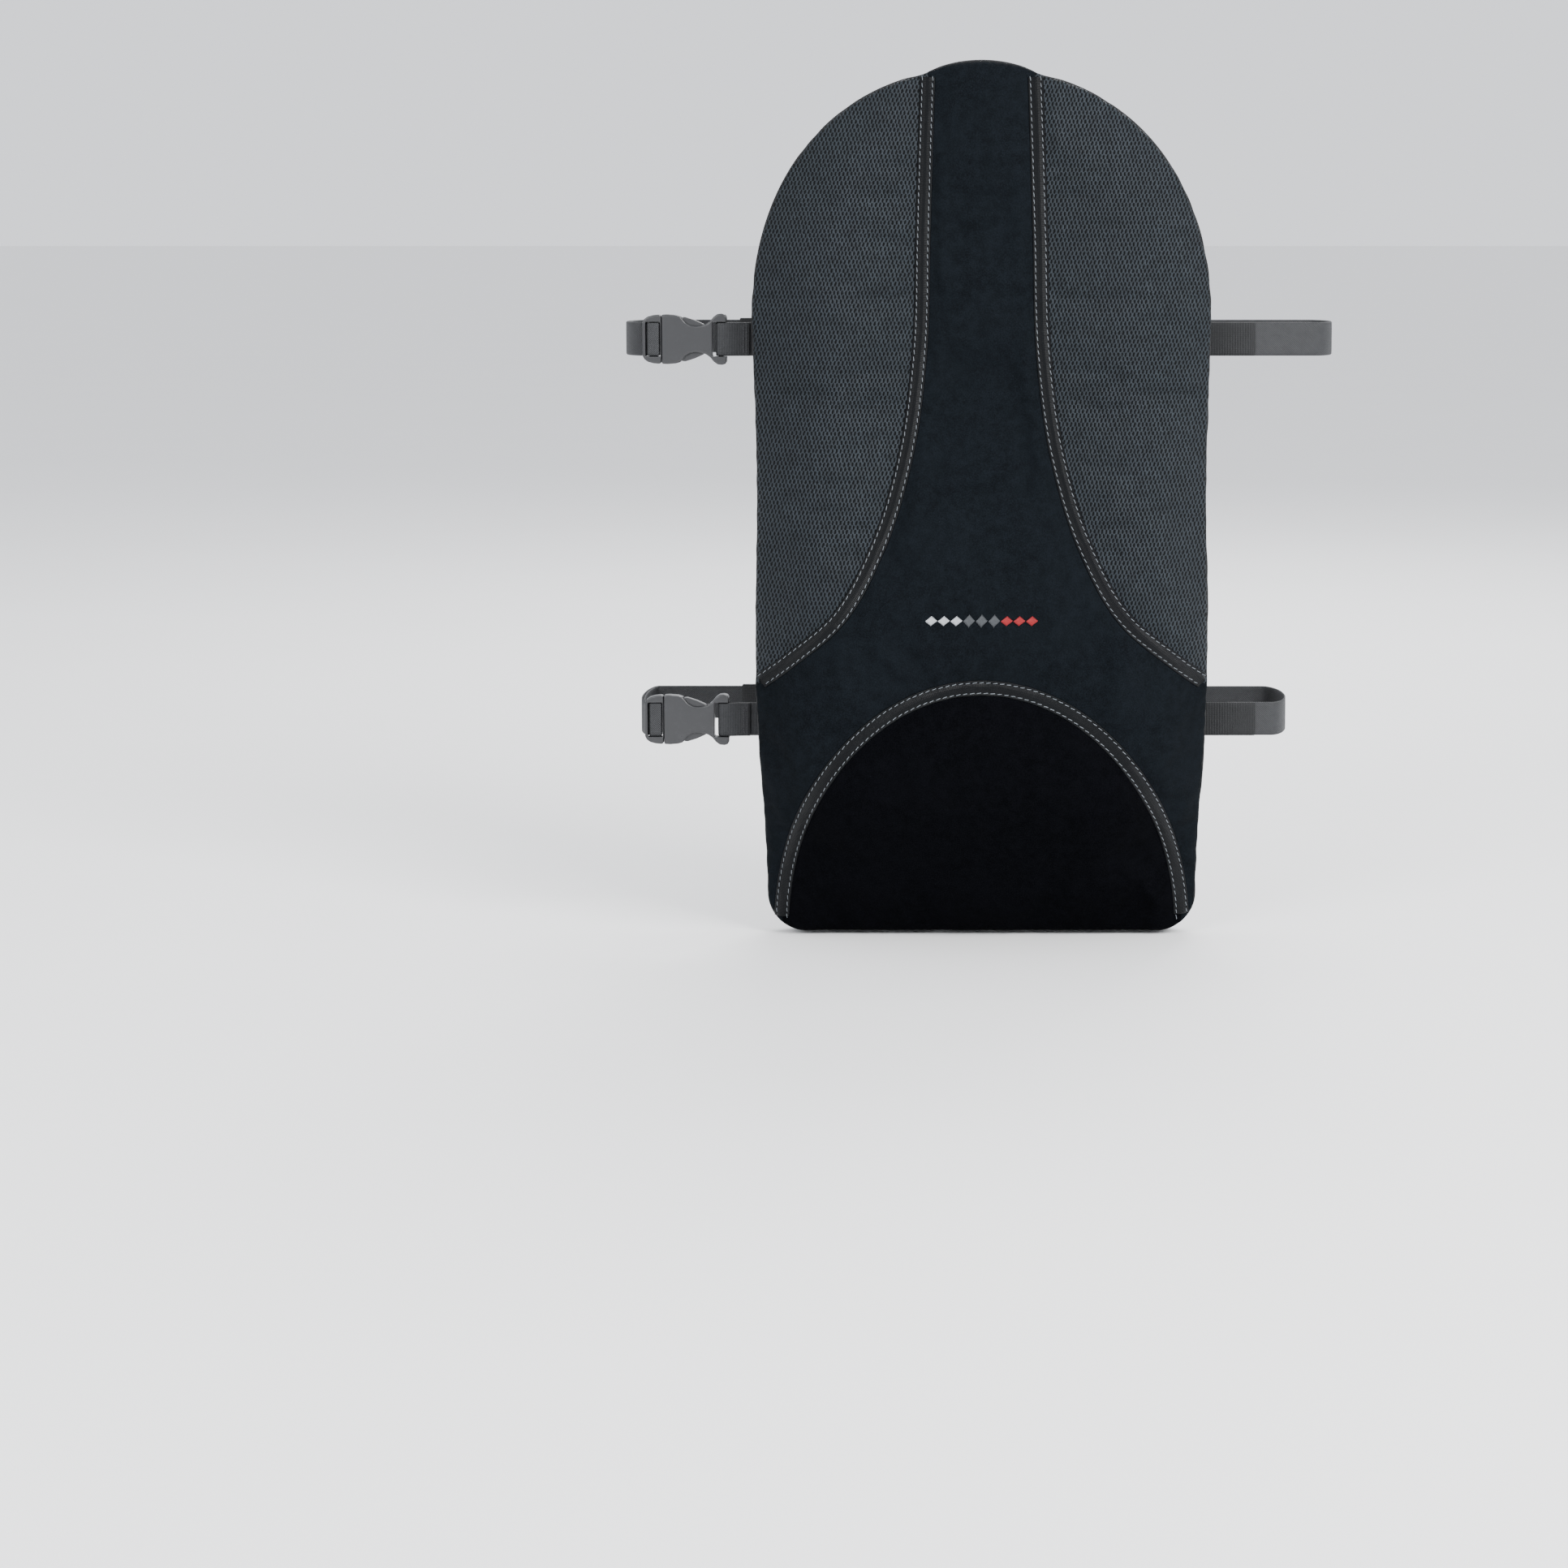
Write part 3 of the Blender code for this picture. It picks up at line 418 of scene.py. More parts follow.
class Effects:
    """Makes each shared node group once and places it in materials."""

    made: dict[Effect, bpy.types.NodeTree] = {}

    @classmethod
    def group(cls, effect: Effect) -> bpy.types.NodeTree:
        """The node group of an effect, made when first asked for."""
        if effect not in cls.made:
            builders = {
                Effect.SLITS: cls.slits,
                Effect.FUZZ: cls.fuzz,
                Effect.WEAVE: cls.weave,
                Effect.RIBS: cls.ribs,
                Effect.SCUFFS: cls.scuffs,
                Effect.LINT: cls.lint,
            }
            cls.made[effect] = builders[effect](effect.value)
        return cls.made[effect]

    @classmethod
    def place(cls, desk: Desk, effect: Effect, **values: object) -> bpy.types.Node:
        """Places an effect in a material.

        Args:
            desk: The material's tree.
            effect: Which effect.
            values: What its inputs get, with spaces in their names as underscores.

        Returns:
            The group node.
        """
        node = desk.node("Group", node_tree=cls.group(effect))
        for name, value in values.items():
            desk.feed(node.inputs[name.replace("_", " ")], value)
        return node

    @staticmethod
    def start(
        name: str, inputs: Sequence[str], outputs: Sequence[str]
    ) -> tuple[Desk, bpy.types.Node, bpy.types.Node]:
        """Starts a group whose first input is a vector and the rest numbers.

        Args:
            name: The group's name.
            inputs: Names of its inputs.
            outputs: Names of its outputs.

        Returns:
            A desk for it, its input node and its output node.
        """
        tree = bpy.data.node_groups.new(name, "ShaderNodeTree")
        for index, label in enumerate(inputs):
            kind = "NodeSocketFloat" if index else "NodeSocketVector"
            tree.interface.new_socket(label, in_out="INPUT", socket_type=kind)
        for label in outputs:
            tree.interface.new_socket(label, in_out="OUTPUT", socket_type="NodeSocketFloat")
        desk = Desk(tree)
        return desk, tree.nodes.new("NodeGroupInput"), tree.nodes.new("NodeGroupOutput")

    @classmethod
    def slits(cls, name: str) -> bpy.types.NodeTree:
        """Staggered, slightly leaning slits of an open mesh.

        Args:
            name: The group's name.

        Returns:
            The group, with a mask of the slits and the height of the strands.
        """
        desk, given, gives = cls.start(
            name, ("Vector", "Across", "Up", "Slit Width", "Slit Length", "Lean"), ("Slit", "Height")
        )
        vector, across, up = (given.outputs[label] for label in ("Vector", "Across", "Up"))
        split = desk.node("SeparateXYZ")
        desk.feed(split.inputs[0], vector)
        warp = desk.noise(vector, 170.0, 3.0)
        sway = desk.maths("MULTIPLY", desk.maths("SUBTRACT", warp, 0.5), 0.0016)
        leaned = desk.maths("MULTIPLY_ADD", split.outputs[2], given.outputs["Lean"], split.outputs[0])
        rows = desk.maths("DIVIDE", desk.maths("ADD", split.outputs[2], sway), up)
        stagger = desk.maths("MULTIPLY", desk.maths("FLOORED_MODULO", desk.maths("FLOOR", rows), 2.0), 0.5)
        columns = desk.maths("DIVIDE", desk.maths("ADD", leaned, sway), across)
        u = desk.maths("SUBTRACT", desk.maths("FRACT", desk.maths("ADD", columns, stagger)), 0.5)
        v = desk.maths("SUBTRACT", desk.maths("FRACT", rows), 0.5)
        u = desk.maths("MULTIPLY", u, desk.maths("DIVIDE", across, given.outputs["Slit Width"]))
        v = desk.maths("MULTIPLY", v, desk.maths("DIVIDE", up, given.outputs["Slit Length"]))
        far = desk.maths("SQRT", desk.maths("ADD", desk.maths("POWER", u, 2.0), desk.maths("POWER", v, 2.0)))
        fray = desk.maths("MULTIPLY", desk.maths("SUBTRACT", desk.noise(vector, 900.0), 0.5), 0.5)
        far = desk.maths("ADD", far, fray)
        desk.feed(gives.inputs["Slit"], desk.between(far, 0.36, 0.62, 1.0, 0.0))
        desk.feed(gives.inputs["Height"], desk.between(far, 0.2, 1.1))
        return desk.tree

    @classmethod
    def fuzz(cls, name: str) -> bpy.types.NodeTree:
        """Short fibres brushed over a knit.

        Args:
            name: The group's name.

        Returns:
            The group, with a mottled mask and a height.
        """
        desk, given, gives = cls.start(name, ("Vector", "Fibre Scale"), ("Mottle", "Height"))
        scaled = desk.node("VectorMath", operation="SCALE")
        desk.feed(scaled.inputs[0], given.outputs["Vector"])
        desk.feed(scaled.inputs["Scale"], given.outputs["Fibre Scale"])
        fine = desk.noise(scaled.outputs[0], 900.0, 3.0, 0.7)
        broad = desk.noise(scaled.outputs[0], 120.0, 3.0, 0.6)
        mottle = desk.maths("MULTIPLY_ADD", fine, 0.65, desk.maths("MULTIPLY", broad, 0.35))
        desk.feed(gives.inputs["Mottle"], desk.between(mottle, 0.36, 0.64))
        desk.feed(gives.inputs["Height"], fine)
        return desk.tree

    @classmethod
    def weave(cls, name: str) -> bpy.types.NodeTree:
        """Over and under threads of a plain woven cloth, on faces of any direction.

        Args:
            name: The group's name.

        Returns:
            The group, with a mask of the gaps and the height of the threads.
        """
        desk, given, gives = cls.start(name, ("Vector", "Pitch"), ("Gap", "Height"))
        split = desk.node("SeparateXYZ")
        desk.feed(split.inputs[0], given.outputs["Vector"])
        turns = desk.maths("DIVIDE", math.pi, given.outputs["Pitch"])
        u = desk.maths("MULTIPLY", desk.maths("MULTIPLY_ADD", split.outputs[1], 0.6, split.outputs[0]), turns)
        v = desk.maths("MULTIPLY", desk.maths("MULTIPLY_ADD", split.outputs[1], 0.8, split.outputs[2]), turns)
        warp = desk.maths("ABSOLUTE", desk.maths("SINE", u))
        weft = desk.maths("ABSOLUTE", desk.maths("SINE", v))
        over = desk.maths("MULTIPLY", desk.maths("SINE", desk.maths("ADD", u, v)), 0.3)
        height = desk.maths("ADD", desk.maths("MAXIMUM", warp, weft), over)
        desk.feed(gives.inputs["Height"], height)
        desk.feed(gives.inputs["Gap"], desk.between(desk.maths("MULTIPLY", warp, weft), 0.05, 0.45, 1.0, 0.0))
        return desk.tree

    @classmethod
    def ribs(cls, name: str) -> bpy.types.NodeTree:
        """Ribs across a tape, or the slanting lines of a twill where they lean.

        Args:
            name: The group's name.

        Returns:
            The group, with a mask of the furrows and the height of the ribs.
        """
        desk, given, gives = cls.start(name, ("Vector", "Pitch", "Lean", "Cross Pitch"), ("Furrow", "Height"))
        vector = given.outputs["Vector"]
        split = desk.node("SeparateXYZ")
        desk.feed(split.inputs[0], vector)
        along = desk.maths("MULTIPLY_ADD", split.outputs[1], given.outputs["Lean"], split.outputs[0])
        turns = desk.maths("DIVIDE", math.pi, given.outputs["Pitch"])
        wander = desk.maths("MULTIPLY", desk.maths("SUBTRACT", desk.noise(vector, 300.0), 0.5), 0.9)
        rib = desk.maths("ABSOLUTE", desk.maths("SINE", desk.maths("MULTIPLY_ADD", along, turns, wander)))
        half_turns = desk.maths("MULTIPLY", split.outputs[1], math.pi)
        cross = desk.maths("DIVIDE", half_turns, given.outputs["Cross Pitch"])
        thread = desk.maths("ABSOLUTE", desk.maths("SINE", cross))
        desk.feed(gives.inputs["Height"], desk.maths("MULTIPLY_ADD", thread, 0.35, rib))
        desk.feed(gives.inputs["Furrow"], desk.between(rib, 0.08, 0.6, 1.0, 0.0))
        return desk.tree

    @classmethod
    def scuffs(cls, name: str) -> bpy.types.NodeTree:
        """Fine moulded grain with a few rubbed patches.

        Args:
            name: The group's name.

        Returns:
            The group, with a mask of the rubbed patches and the height of the grain.
        """
        desk, given, gives = cls.start(name, ("Vector", "Grain Scale"), ("Rubbed", "Height"))
        scaled = desk.node("VectorMath", operation="SCALE")
        desk.feed(scaled.inputs[0], given.outputs["Vector"])
        desk.feed(scaled.inputs["Scale"], given.outputs["Grain Scale"])
        grain = desk.noise(scaled.outputs[0], 1500.0, 2.0, 0.6)
        patch = desk.noise(scaled.outputs[0], 160.0, 5.0, 0.75)
        desk.feed(gives.inputs["Rubbed"], desk.between(patch, 0.5, 0.72))
        desk.feed(gives.inputs["Height"], grain)
        return desk.tree

    @classmethod
    def lint(cls, name: str) -> bpy.types.NodeTree:
        """Sparse pale specks caught in dark cloth.

        Args:
            name: The group's name.

        Returns:
            The group, with a mask of the specks.
        """
        desk, given, gives = cls.start(name, ("Vector", "Amount"), ("Speck",))
        cells = desk.node("TexVoronoi")
        desk.feed(cells.inputs["Vector"], given.outputs["Vector"])
        cells.inputs["Scale"].default_value = 260.0
        near = desk.between(cells.outputs["Distance"], 0.03, 0.1, 1.0, 0.0)
        rare = desk.node("SeparateColor")
        desk.feed(rare.inputs[0], cells.outputs["Color"])
        chosen = desk.maths("LESS_THAN", rare.outputs[0], given.outputs["Amount"])
        desk.feed(gives.inputs["Speck"], desk.maths("MULTIPLY", near, chosen))
        return desk.tree


class Where(Enum):
    """What a finish measures its pattern along."""

    FRAME = "Object"
    LAY = "lay"


@dataclass(frozen=True)
class Finish:
    """One finish of the cushion. Each kind says how its colour, gloss and relief vary."""

    name: str
    colour: Colour
    roughness: float = 0.8
    sheen: float = 0.0
    specular: float = 0.5
    metallic: float = 0.0
    where: Where = Where.FRAME

    def material(self) -> bpy.types.Material:
        """The finish as a material, made when first asked for."""
        made = bpy.data.materials.get(self.name)
        if made is None:
            made = bpy.data.materials.new(self.name)
            made.use_nodes = True
            made.diffuse_color = (*self.colour, 1.0)
            desk = Desk(made.node_tree)
            shader = made.node_tree.nodes["Principled BSDF"]
            shader.inputs["Roughness"].default_value = self.roughness
            shader.inputs["Metallic"].default_value = self.metallic
            shader.inputs["Specular IOR Level"].default_value = self.specular
            shader.inputs["Sheen Weight"].default_value = self.sheen
            shader.inputs["Sheen Roughness"].default_value = 0.6
            if self.where is Where.FRAME:
                coordinates = desk.node("TexCoord").outputs[self.where.value]
            else:
                coordinates = desk.node("Attribute", attribute_name=self.where.value).outputs["Vector"]
            self.dress(desk, shader, coordinates)
        return made

    def dress(self, desk: Desk, shader: bpy.types.Node, where: bpy.types.NodeSocket) -> None:
        """Adds what varies over the surface.

        Args:
            desk: The material's tree.
            shader: Its Principled shader.
            where: The pattern's coordinates.
        """
        raise NotImplementedError

    def finish(
        self,
        desk: Desk,
        shader: bpy.types.Node,
        colour: object,
        roughness: object,
        height: object,
        depth: float,
    ) -> None:
        """Feeds the shader's colour, roughness and relief.

        Args:
            desk: The material's tree.
            shader: Its Principled shader.
            colour: The varying colour.
            roughness: The varying roughness.
            height: The relief, from 0 to about 1.
            depth: The relief's height in millimetres.
        """
        desk.feed(shader.inputs["Base Color"], colour)
        desk.feed(shader.inputs["Roughness"], roughness)
        bump = desk.node("Bump")
        bump.inputs["Strength"].default_value = 0.9
        bump.inputs["Distance"].default_value = depth * MM
        desk.feed(bump.inputs["Height"], height)
        desk.feed(shader.inputs["Normal"], bump.outputs[0])

    def shade(self, factor: float) -> Colour:
        """The finish's own colour, lighter or darker."""
        return tuple(min(1.0, factor * part) for part in self.colour)


@dataclass(frozen=True)
class AirMesh(Finish):
    """Grey open mesh with leaning slits."""

    across: float = 2.9
    up: float = 3.2
    slit_width: float = 1.45
    slit_length: float = 4.0
    lean: float = -0.16

    def dress(self, desk: Desk, shader: bpy.types.Node, where: bpy.types.NodeSocket) -> None:
        """Slits with painted shade in the openings, strands and a slow change of tone."""
        slits = Effects.place(
            desk,
            Effect.SLITS,
            Vector=where,
            Across=self.across * MM,
            Up=self.up * MM,
            Slit_Width=self.slit_width * MM,
            Slit_Length=self.slit_length * MM,
            Lean=self.lean,
        )
        fuzz = Effects.place(desk, Effect.FUZZ, Vector=where, Fibre_Scale=1.0)
        strands = desk.mixed(fuzz.outputs["Mottle"], self.shade(0.7), self.shade(1.45))
        patches = desk.between(desk.noise(where, 14.0, 2.0), 0.3, 0.7)
        strands = desk.mixed(desk.maths("MULTIPLY", patches, 0.35), strands, self.shade(0.86))
        # painted shade: the slits are filled nearly black to stand for the shade seen through the openings
        colour = desk.mixed(slits.outputs["Slit"], strands, self.shade(0.1))
        rough = desk.between(slits.outputs["Slit"], 0.0, 1.0, self.roughness, 1.0)
        self.finish(desk, shader, colour, rough, slits.outputs["Height"], 0.4)


@dataclass(frozen=True)
class Knit(Finish):
    """Black brushed knit."""

    lint: float = 0.05

    def dress(self, desk: Desk, shader: bpy.types.Node, where: bpy.types.NodeSocket) -> None:
        """Mottled fibres with a little lint."""
        fuzz = Effects.place(desk, Effect.FUZZ, Vector=where, Fibre_Scale=1.1)
        colour = desk.mixed(fuzz.outputs["Mottle"], self.shade(0.6), self.shade(1.45))
        broad = desk.between(desk.noise(where, 22.0, 3.0), 0.35, 0.7)
        colour = desk.mixed(desk.maths("MULTIPLY", broad, 0.3), colour, self.shade(1.5))
        lint = Effects.place(desk, Effect.LINT, Vector=where, Amount=self.lint)
        colour = desk.mixed(desk.maths("MULTIPLY", lint.outputs["Speck"], 0.5), colour, self.shade(5.0))
        rough = desk.between(fuzz.outputs["Mottle"], 0.0, 1.0, self.roughness, 1.0)
        self.finish(desk, shader, colour, rough, fuzz.outputs["Height"], 0.35)


@dataclass(frozen=True)
class Woven(Finish):
    """Plain woven cloth of the rear and the sides."""

    pitch: float = 0.9

    def dress(self, desk: Desk, shader: bpy.types.Node, where: bpy.types.NodeSocket) -> None:
        """Over and under threads with painted shade in the gaps, and a little lint."""
        weave = Effects.place(desk, Effect.WEAVE, Vector=where, Pitch=self.pitch * MM)
        fuzz = Effects.place(desk, Effect.FUZZ, Vector=where, Fibre_Scale=0.8)
        colour = desk.mixed(fuzz.outputs["Mottle"], self.shade(0.75), self.shade(1.3))
        # painted shade: the gaps between the threads are darkened to stand for the shade in them
        colour = desk.mixed(weave.outputs["Gap"], colour, self.shade(0.35))
        lint = Effects.place(desk, Effect.LINT, Vector=where, Amount=0.06)
        colour = desk.mixed(desk.maths("MULTIPLY", lint.outputs["Speck"], 0.4), colour, self.shade(5.0))
        rough = desk.between(weave.outputs["Height"], 0.4, 1.3, 1.0, self.roughness)
        self.finish(desk, shader, colour, rough, weave.outputs["Height"], 0.22)


@dataclass(frozen=True)
class Ribbed(Finish):
    """Tape and webbing whose ribs follow the strip."""

    pitch: float = 0.9
    lean: float = 0.0
    cross: float = 0.6
    depth: float = 0.2
    furrow_painted_shade: float = 0.4

    def dress(self, desk: Desk, shader: bpy.types.Node, where: bpy.types.NodeSocket) -> None:
        """Ribs with painted shade in the furrows and rubbed crowns."""
        pitches = {"Pitch": self.pitch * MM, "Cross_Pitch": self.cross * MM}
        ribs = Effects.place(desk, Effect.RIBS, Vector=where, Lean=self.lean, **pitches)
        fuzz = Effects.place(desk, Effect.FUZZ, Vector=where, Fibre_Scale=1.4)
        colour = desk.mixed(fuzz.outputs["Mottle"], self.shade(0.8), self.shade(1.25))
        # painted shade: the furrows between the ribs are darkened
        colour = desk.mixed(ribs.outputs["Furrow"], colour, self.shade(self.furrow_painted_shade))
        rough = desk.between(ribs.outputs["Height"], 0.2, 1.2, min(1.0, self.roughness + 0.2), self.roughness)
        self.finish(desk, shader, colour, rough, ribs.outputs["Height"], self.depth)


@dataclass(frozen=True)
class Thread(Finish):
    """Twisted sewing thread."""

    ply: float = 0.55
    strand: float = 0.3

    def dress(self, desk: Desk, shader: bpy.types.Node, where: bpy.types.NodeSocket) -> None:
        """The thread's twist with painted shade in its furrows, and slight soiling."""
        pitches = {"Pitch": self.ply * MM, "Cross_Pitch": self.strand * MM}
        twist = Effects.place(desk, Effect.RIBS, Vector=where, Lean=0.7, **pitches)
        colour = desk.mixed(desk.noise(where, 90.0, 2.0), self.shade(0.72), self.shade(1.15))
        # painted shade: the furrows of the twist are darkened
        colour = desk.mixed(twist.outputs["Furrow"], colour, self.shade(0.45))
        rough = desk.between(twist.outputs["Height"], 0.2, 1.2, 0.9, self.roughness)
        self.finish(desk, shader, colour, rough, twist.outputs["Height"], 0.12)


@dataclass(frozen=True)
class Moulded(Finish):
    """Moulded plastic or cast metal with a fine grain."""

    grain: float = 1.0
    depth: float = 0.03

    def dress(self, desk: Desk, shader: bpy.types.Node, where: bpy.types.NodeSocket) -> None:
        """Grain, and patches rubbed smoother and paler."""
        scuffs = Effects.place(desk, Effect.SCUFFS, Vector=where, Grain_Scale=self.grain)
        rubbed = desk.maths("MULTIPLY", scuffs.outputs["Rubbed"], 0.6)
        colour = desk.mixed(rubbed, self.colour, self.shade(1.5))
        rough = desk.between(scuffs.outputs["Rubbed"], 0.0, 1.0, self.roughness, 0.75 * self.roughness)
        self.finish(desk, shader, colour, rough, scuffs.outputs["Height"], self.depth)


@dataclass(frozen=True)
class Cellular(Finish):
    """Cut foam with open cells."""

    cells: float = 900.0

    def dress(self, desk: Desk, shader: bpy.types.Node, where: bpy.types.NodeSocket) -> None:
        """Open cells with painted shade inside them, and a slow change of tone."""
        pores = desk.node("TexVoronoi")
        desk.feed(pores.inputs["Vector"], where)
        pores.inputs["Scale"].default_value = self.cells
        edge = desk.between(pores.outputs["Distance"], 0.1, 0.6)
        tone = desk.mixed(desk.noise(where, 30.0, 3.0), self.shade(0.85), self.shade(1.1))
        # painted shade: the middle of each open cell is darkened as the shade inside the pore
        colour = desk.mixed(edge, self.shade(0.6), tone)
        self.finish(desk, shader, colour, desk.between(edge, 0.0, 1.0, 1.0, self.roughness), edge, 0.4)


@dataclass(frozen=True)
class Plaster(Finish):
    """The studio floor."""

    def dress(self, desk: Desk, shader: bpy.types.Node, where: bpy.types.NodeSocket) -> None:
        """A faint change of tone and gloss."""
        tone = desk.noise(where, 3.0, 4.0)
        colour = desk.mixed(tone, self.shade(0.97), self.shade(1.0))
        rough = desk.between(tone, 0.2, 0.8, self.roughness, 0.95)
        self.finish(desk, shader, colour, rough, desk.noise(where, 120.0, 3.0), 0.1)


AIR_MESH = AirMesh("grey air mesh", (0.0120, 0.0158, 0.0196), 0.6, sheen=0.005, specular=0.16)
KNIT = Knit("black brushed knit", (0.0036, 0.0048, 0.0062), 0.9, specular=0.04)
# partly painted shade: the lumbar knit has its own black, darkened further below the centre knit to stand for
# the shade on the lower lumbar
PAD_KNIT_WITH_PAINTED_SHADE = Knit("black lumbar knit with painted shade", (0.0016, 0.0017, 0.0023), 0.9, specular=0.015)
REAR_CLOTH = Woven("black rear cloth", (0.0095, 0.0098, 0.0108), 0.75, sheen=0.02, specular=0.2, pitch=1.3)
TRIM = Ribbed(
    "ribbed trim tape", (0.0030, 0.0035, 0.0042), 0.26, specular=0.09, where=Where.LAY, cross=1.9, depth=0.16
)
SEAM_THREAD = Thread("pale seam thread", (0.18, 0.20, 0.22), 0.5, where=Where.LAY)
DARK_THREAD = Thread("dark sewing thread", (0.05, 0.05, 0.055), 0.5, where=Where.LAY)
MOTIF_PALE = Thread("pale embroidery thread", (0.50, 0.52, 0.54), 0.4, where=Where.LAY)
MOTIF_GREY = Thread("grey embroidery thread", (0.060, 0.066, 0.072), 0.4, where=Where.LAY)
MOTIF_RED = Thread("red embroidery thread", (0.33, 0.008, 0.012), 0.4, where=Where.LAY)
WEBBING = Ribbed(
    "grey twill webbing",
    (0.026, 0.027, 0.029),
    0.55,
    specular=0.3,
    where=Where.LAY,
    pitch=1.5,
    lean=1.0,
    cross=1.1,
    depth=0.3,
)
TAB_WEBBING = Ribbed(
    "grey ribbed webbing",
    (0.023, 0.024, 0.026),
    0.55,
    specular=0.3,
    where=Where.LAY,
    pitch=0.9,
    cross=2.0,
    depth=0.28,
)
ELASTIC = Ribbed(
    "black ribbed elastic",
    (0.012, 0.0125, 0.0135),
    0.65,
    specular=0.3,
    where=Where.LAY,
    pitch=1.2,
    cross=1.6,
    depth=0.3,
)
ZIP_TAPE = Ribbed(
    "black zip tape",
    (0.009, 0.009, 0.010),
    0.7,
    specular=0.2,
    where=Where.LAY,
    pitch=0.8,
    lean=0.8,
    cross=0.8,
    depth=0.12,
)
BUCKLE = Moulded("dark moulded buckle", (0.016, 0.0165, 0.018), 0.36)
SHELL = Moulded("grey moulded shell", (0.18, 0.19, 0.20), 0.5, grain=0.5)
ZIP_METAL = Moulded("tumbled zip metal", (0.40, 0.40, 0.41), 0.34, metallic=1.0, grain=1.5, depth=0.02)
ZIP_COIL = Moulded("black nylon coil", (0.014, 0.014, 0.015), 0.35, grain=1.5)
FOAM = Cellular("cream foam", (0.62, 0.57, 0.45), 0.95)
PAD_FOAM = Cellular("blue lumbar foam", (0.20, 0.26, 0.33), 0.95)
FLOOR = Plaster("pale studio floor", (0.86, 0.86, 0.86), 0.8)


# ---- pieces --------------------------------------------------------------------------------------


class Body(Enum):
    """The frame's bodies that new pieces ride on."""

    CUSHION = "cushion"
    UPPER_MALE = "upper_male_half"
    LOWER_MALE = "lower_male_half"


@dataclass
class Parts:
    """Points and faces that are being gathered for one piece, in millimetres above the hem."""

    points: list[Points] = field(default_factory=list)
    faces: Faces = field(default_factory=list)
    lay: list[Points] = field(default_factory=list)
    count: int = 0

    def add(self, points: Points, faces: Iterable[Sequence[int]], lay: Points | None = None) -> None:
        """Adds one closed form.

        Args:
            points: Its points.
            faces: The corners of its faces.
            lay: Where each point lies along and across the strip, in metres.
        """
        first = self.count
        self.points.append(points)
        self.faces += [tuple(first + int(i) for i in corners) for corners in faces]
        self.lay.append(np.zeros((len(points), 3)) if lay is None else lay)
        self.count += len(points)


def make_piece(
    name: str,
    parts: Parts,
    finish: Finish,
    replaced: Sequence[str] = (),
    body: str = Body.CUSHION.value,
    ride: bool = True,
) -> bpy.types.Object:
    """Makes an object of the gathered forms and places it in the frame.

    Args:
        name: The piece's name.
        parts: Its forms.
        finish: Its finish.
        replaced: CAD nodes that it stands for.
        body: The body it rides on.
        ride: Whether it rides already now.

    Returns:
        The object.
    """
    mesh = bpy.data.meshes.new(name)
    points = np.vstack(parts.points)
    mesh.from_pydata(framed(points).tolist(), [], parts.faces)
    lay = mesh.attributes.new(Where.LAY.value, "FLOAT_VECTOR", "POINT")
    lay.data.foreach_set("vector", np.vstack(parts.lay).ravel())
    mesh.shade_smooth()
    mesh.materials.append(finish.material())
    obj = bpy.data.objects.new(name, mesh)
    bpy.context.scene.collection.objects.link(obj)
    if replaced:
        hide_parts(*replaced)
    if ride:
        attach(obj, body)
    log.info("%s: %d points, %d faces", name, len(points), len(parts.faces))
    return obj


def tube(path: Points, radii: Points, sides: int = 6, run: float = 0.0) -> tuple[Points, Faces, Points]:
    """Makes a closed round thread along a path in space.

    Args:
        path: The points of its middle.
        radii: Its radius at each.
        sides: How many sides it has.
        run: Where along the strip it starts, in millimetres.

    Returns:
        Its points, faces and lay.
    """
    along = directions(path)
    guide = np.array([0.3, 0.9, 0.31])
    side = np.cross(along, guide)
    side /= np.maximum(np.linalg.norm(side, axis=1), 1e-9)[:, None]
    up = np.cross(side, along)
    turn = np.linspace(0.0, 2.0 * math.pi, sides, endpoint=False)
    ring = np.cos(turn)[None, :, None] * side[:, None] + np.sin(turn)[None, :, None] * up[:, None]
    points = (path[:, None] + ring * np.asarray(radii)[:, None, None]).reshape(-1, 3)
    faces: Faces = []
    for k in range(len(path) - 1):
        for j in range(sides):
            a, b = k * sides + j, k * sides + (j + 1) % sides
            faces.append((a, b, b + sides, a + sides))
    faces.append(tuple(range(sides))[::-1])
    faces.append(tuple((len(path) - 1) * sides + j for j in range(sides)))
    reach = np.concatenate([[0.0], np.cumsum(np.linalg.norm(np.diff(path, axis=0), axis=1))]) + run
    lay = np.zeros((len(path), sides, 3))
    lay[..., 0] = reach[:, None] * MM
    lay[..., 1] = (np.asarray(radii)[:, None] * turn[None]) * MM
    return points, faces, lay.reshape(-1, 3)


def stitch(
    ends: Points, lift: Points, radius: float, sink: float, run: float
) -> tuple[Points, Faces, Points]:
    """One stitch: a plump thread whose ends dive into the cloth.

    Args:
        ends: Its two ends on the cloth.
        lift: The direction out of the cloth.
        radius: The thread's radius.
        sink: How deep the ends dive.
        run: Where along the row it starts, in millimetres.

    Returns:
        Its points, faces and lay.
    """
    share = np.array([0.0, 0.12, 0.35, 0.65, 0.88, 1.0])
    height = np.array([-sink, 0.25 * radius, 0.7 * radius, 0.7 * radius, 0.25 * radius, -sink])
    path = ends[0] + (ends[1] - ends[0]) * share[:, None] + np.asarray(lift) * height[:, None]
    return tube(path, radius * np.array([0.55, 0.9, 1.0, 1.0, 0.9, 0.55]), 6, run)


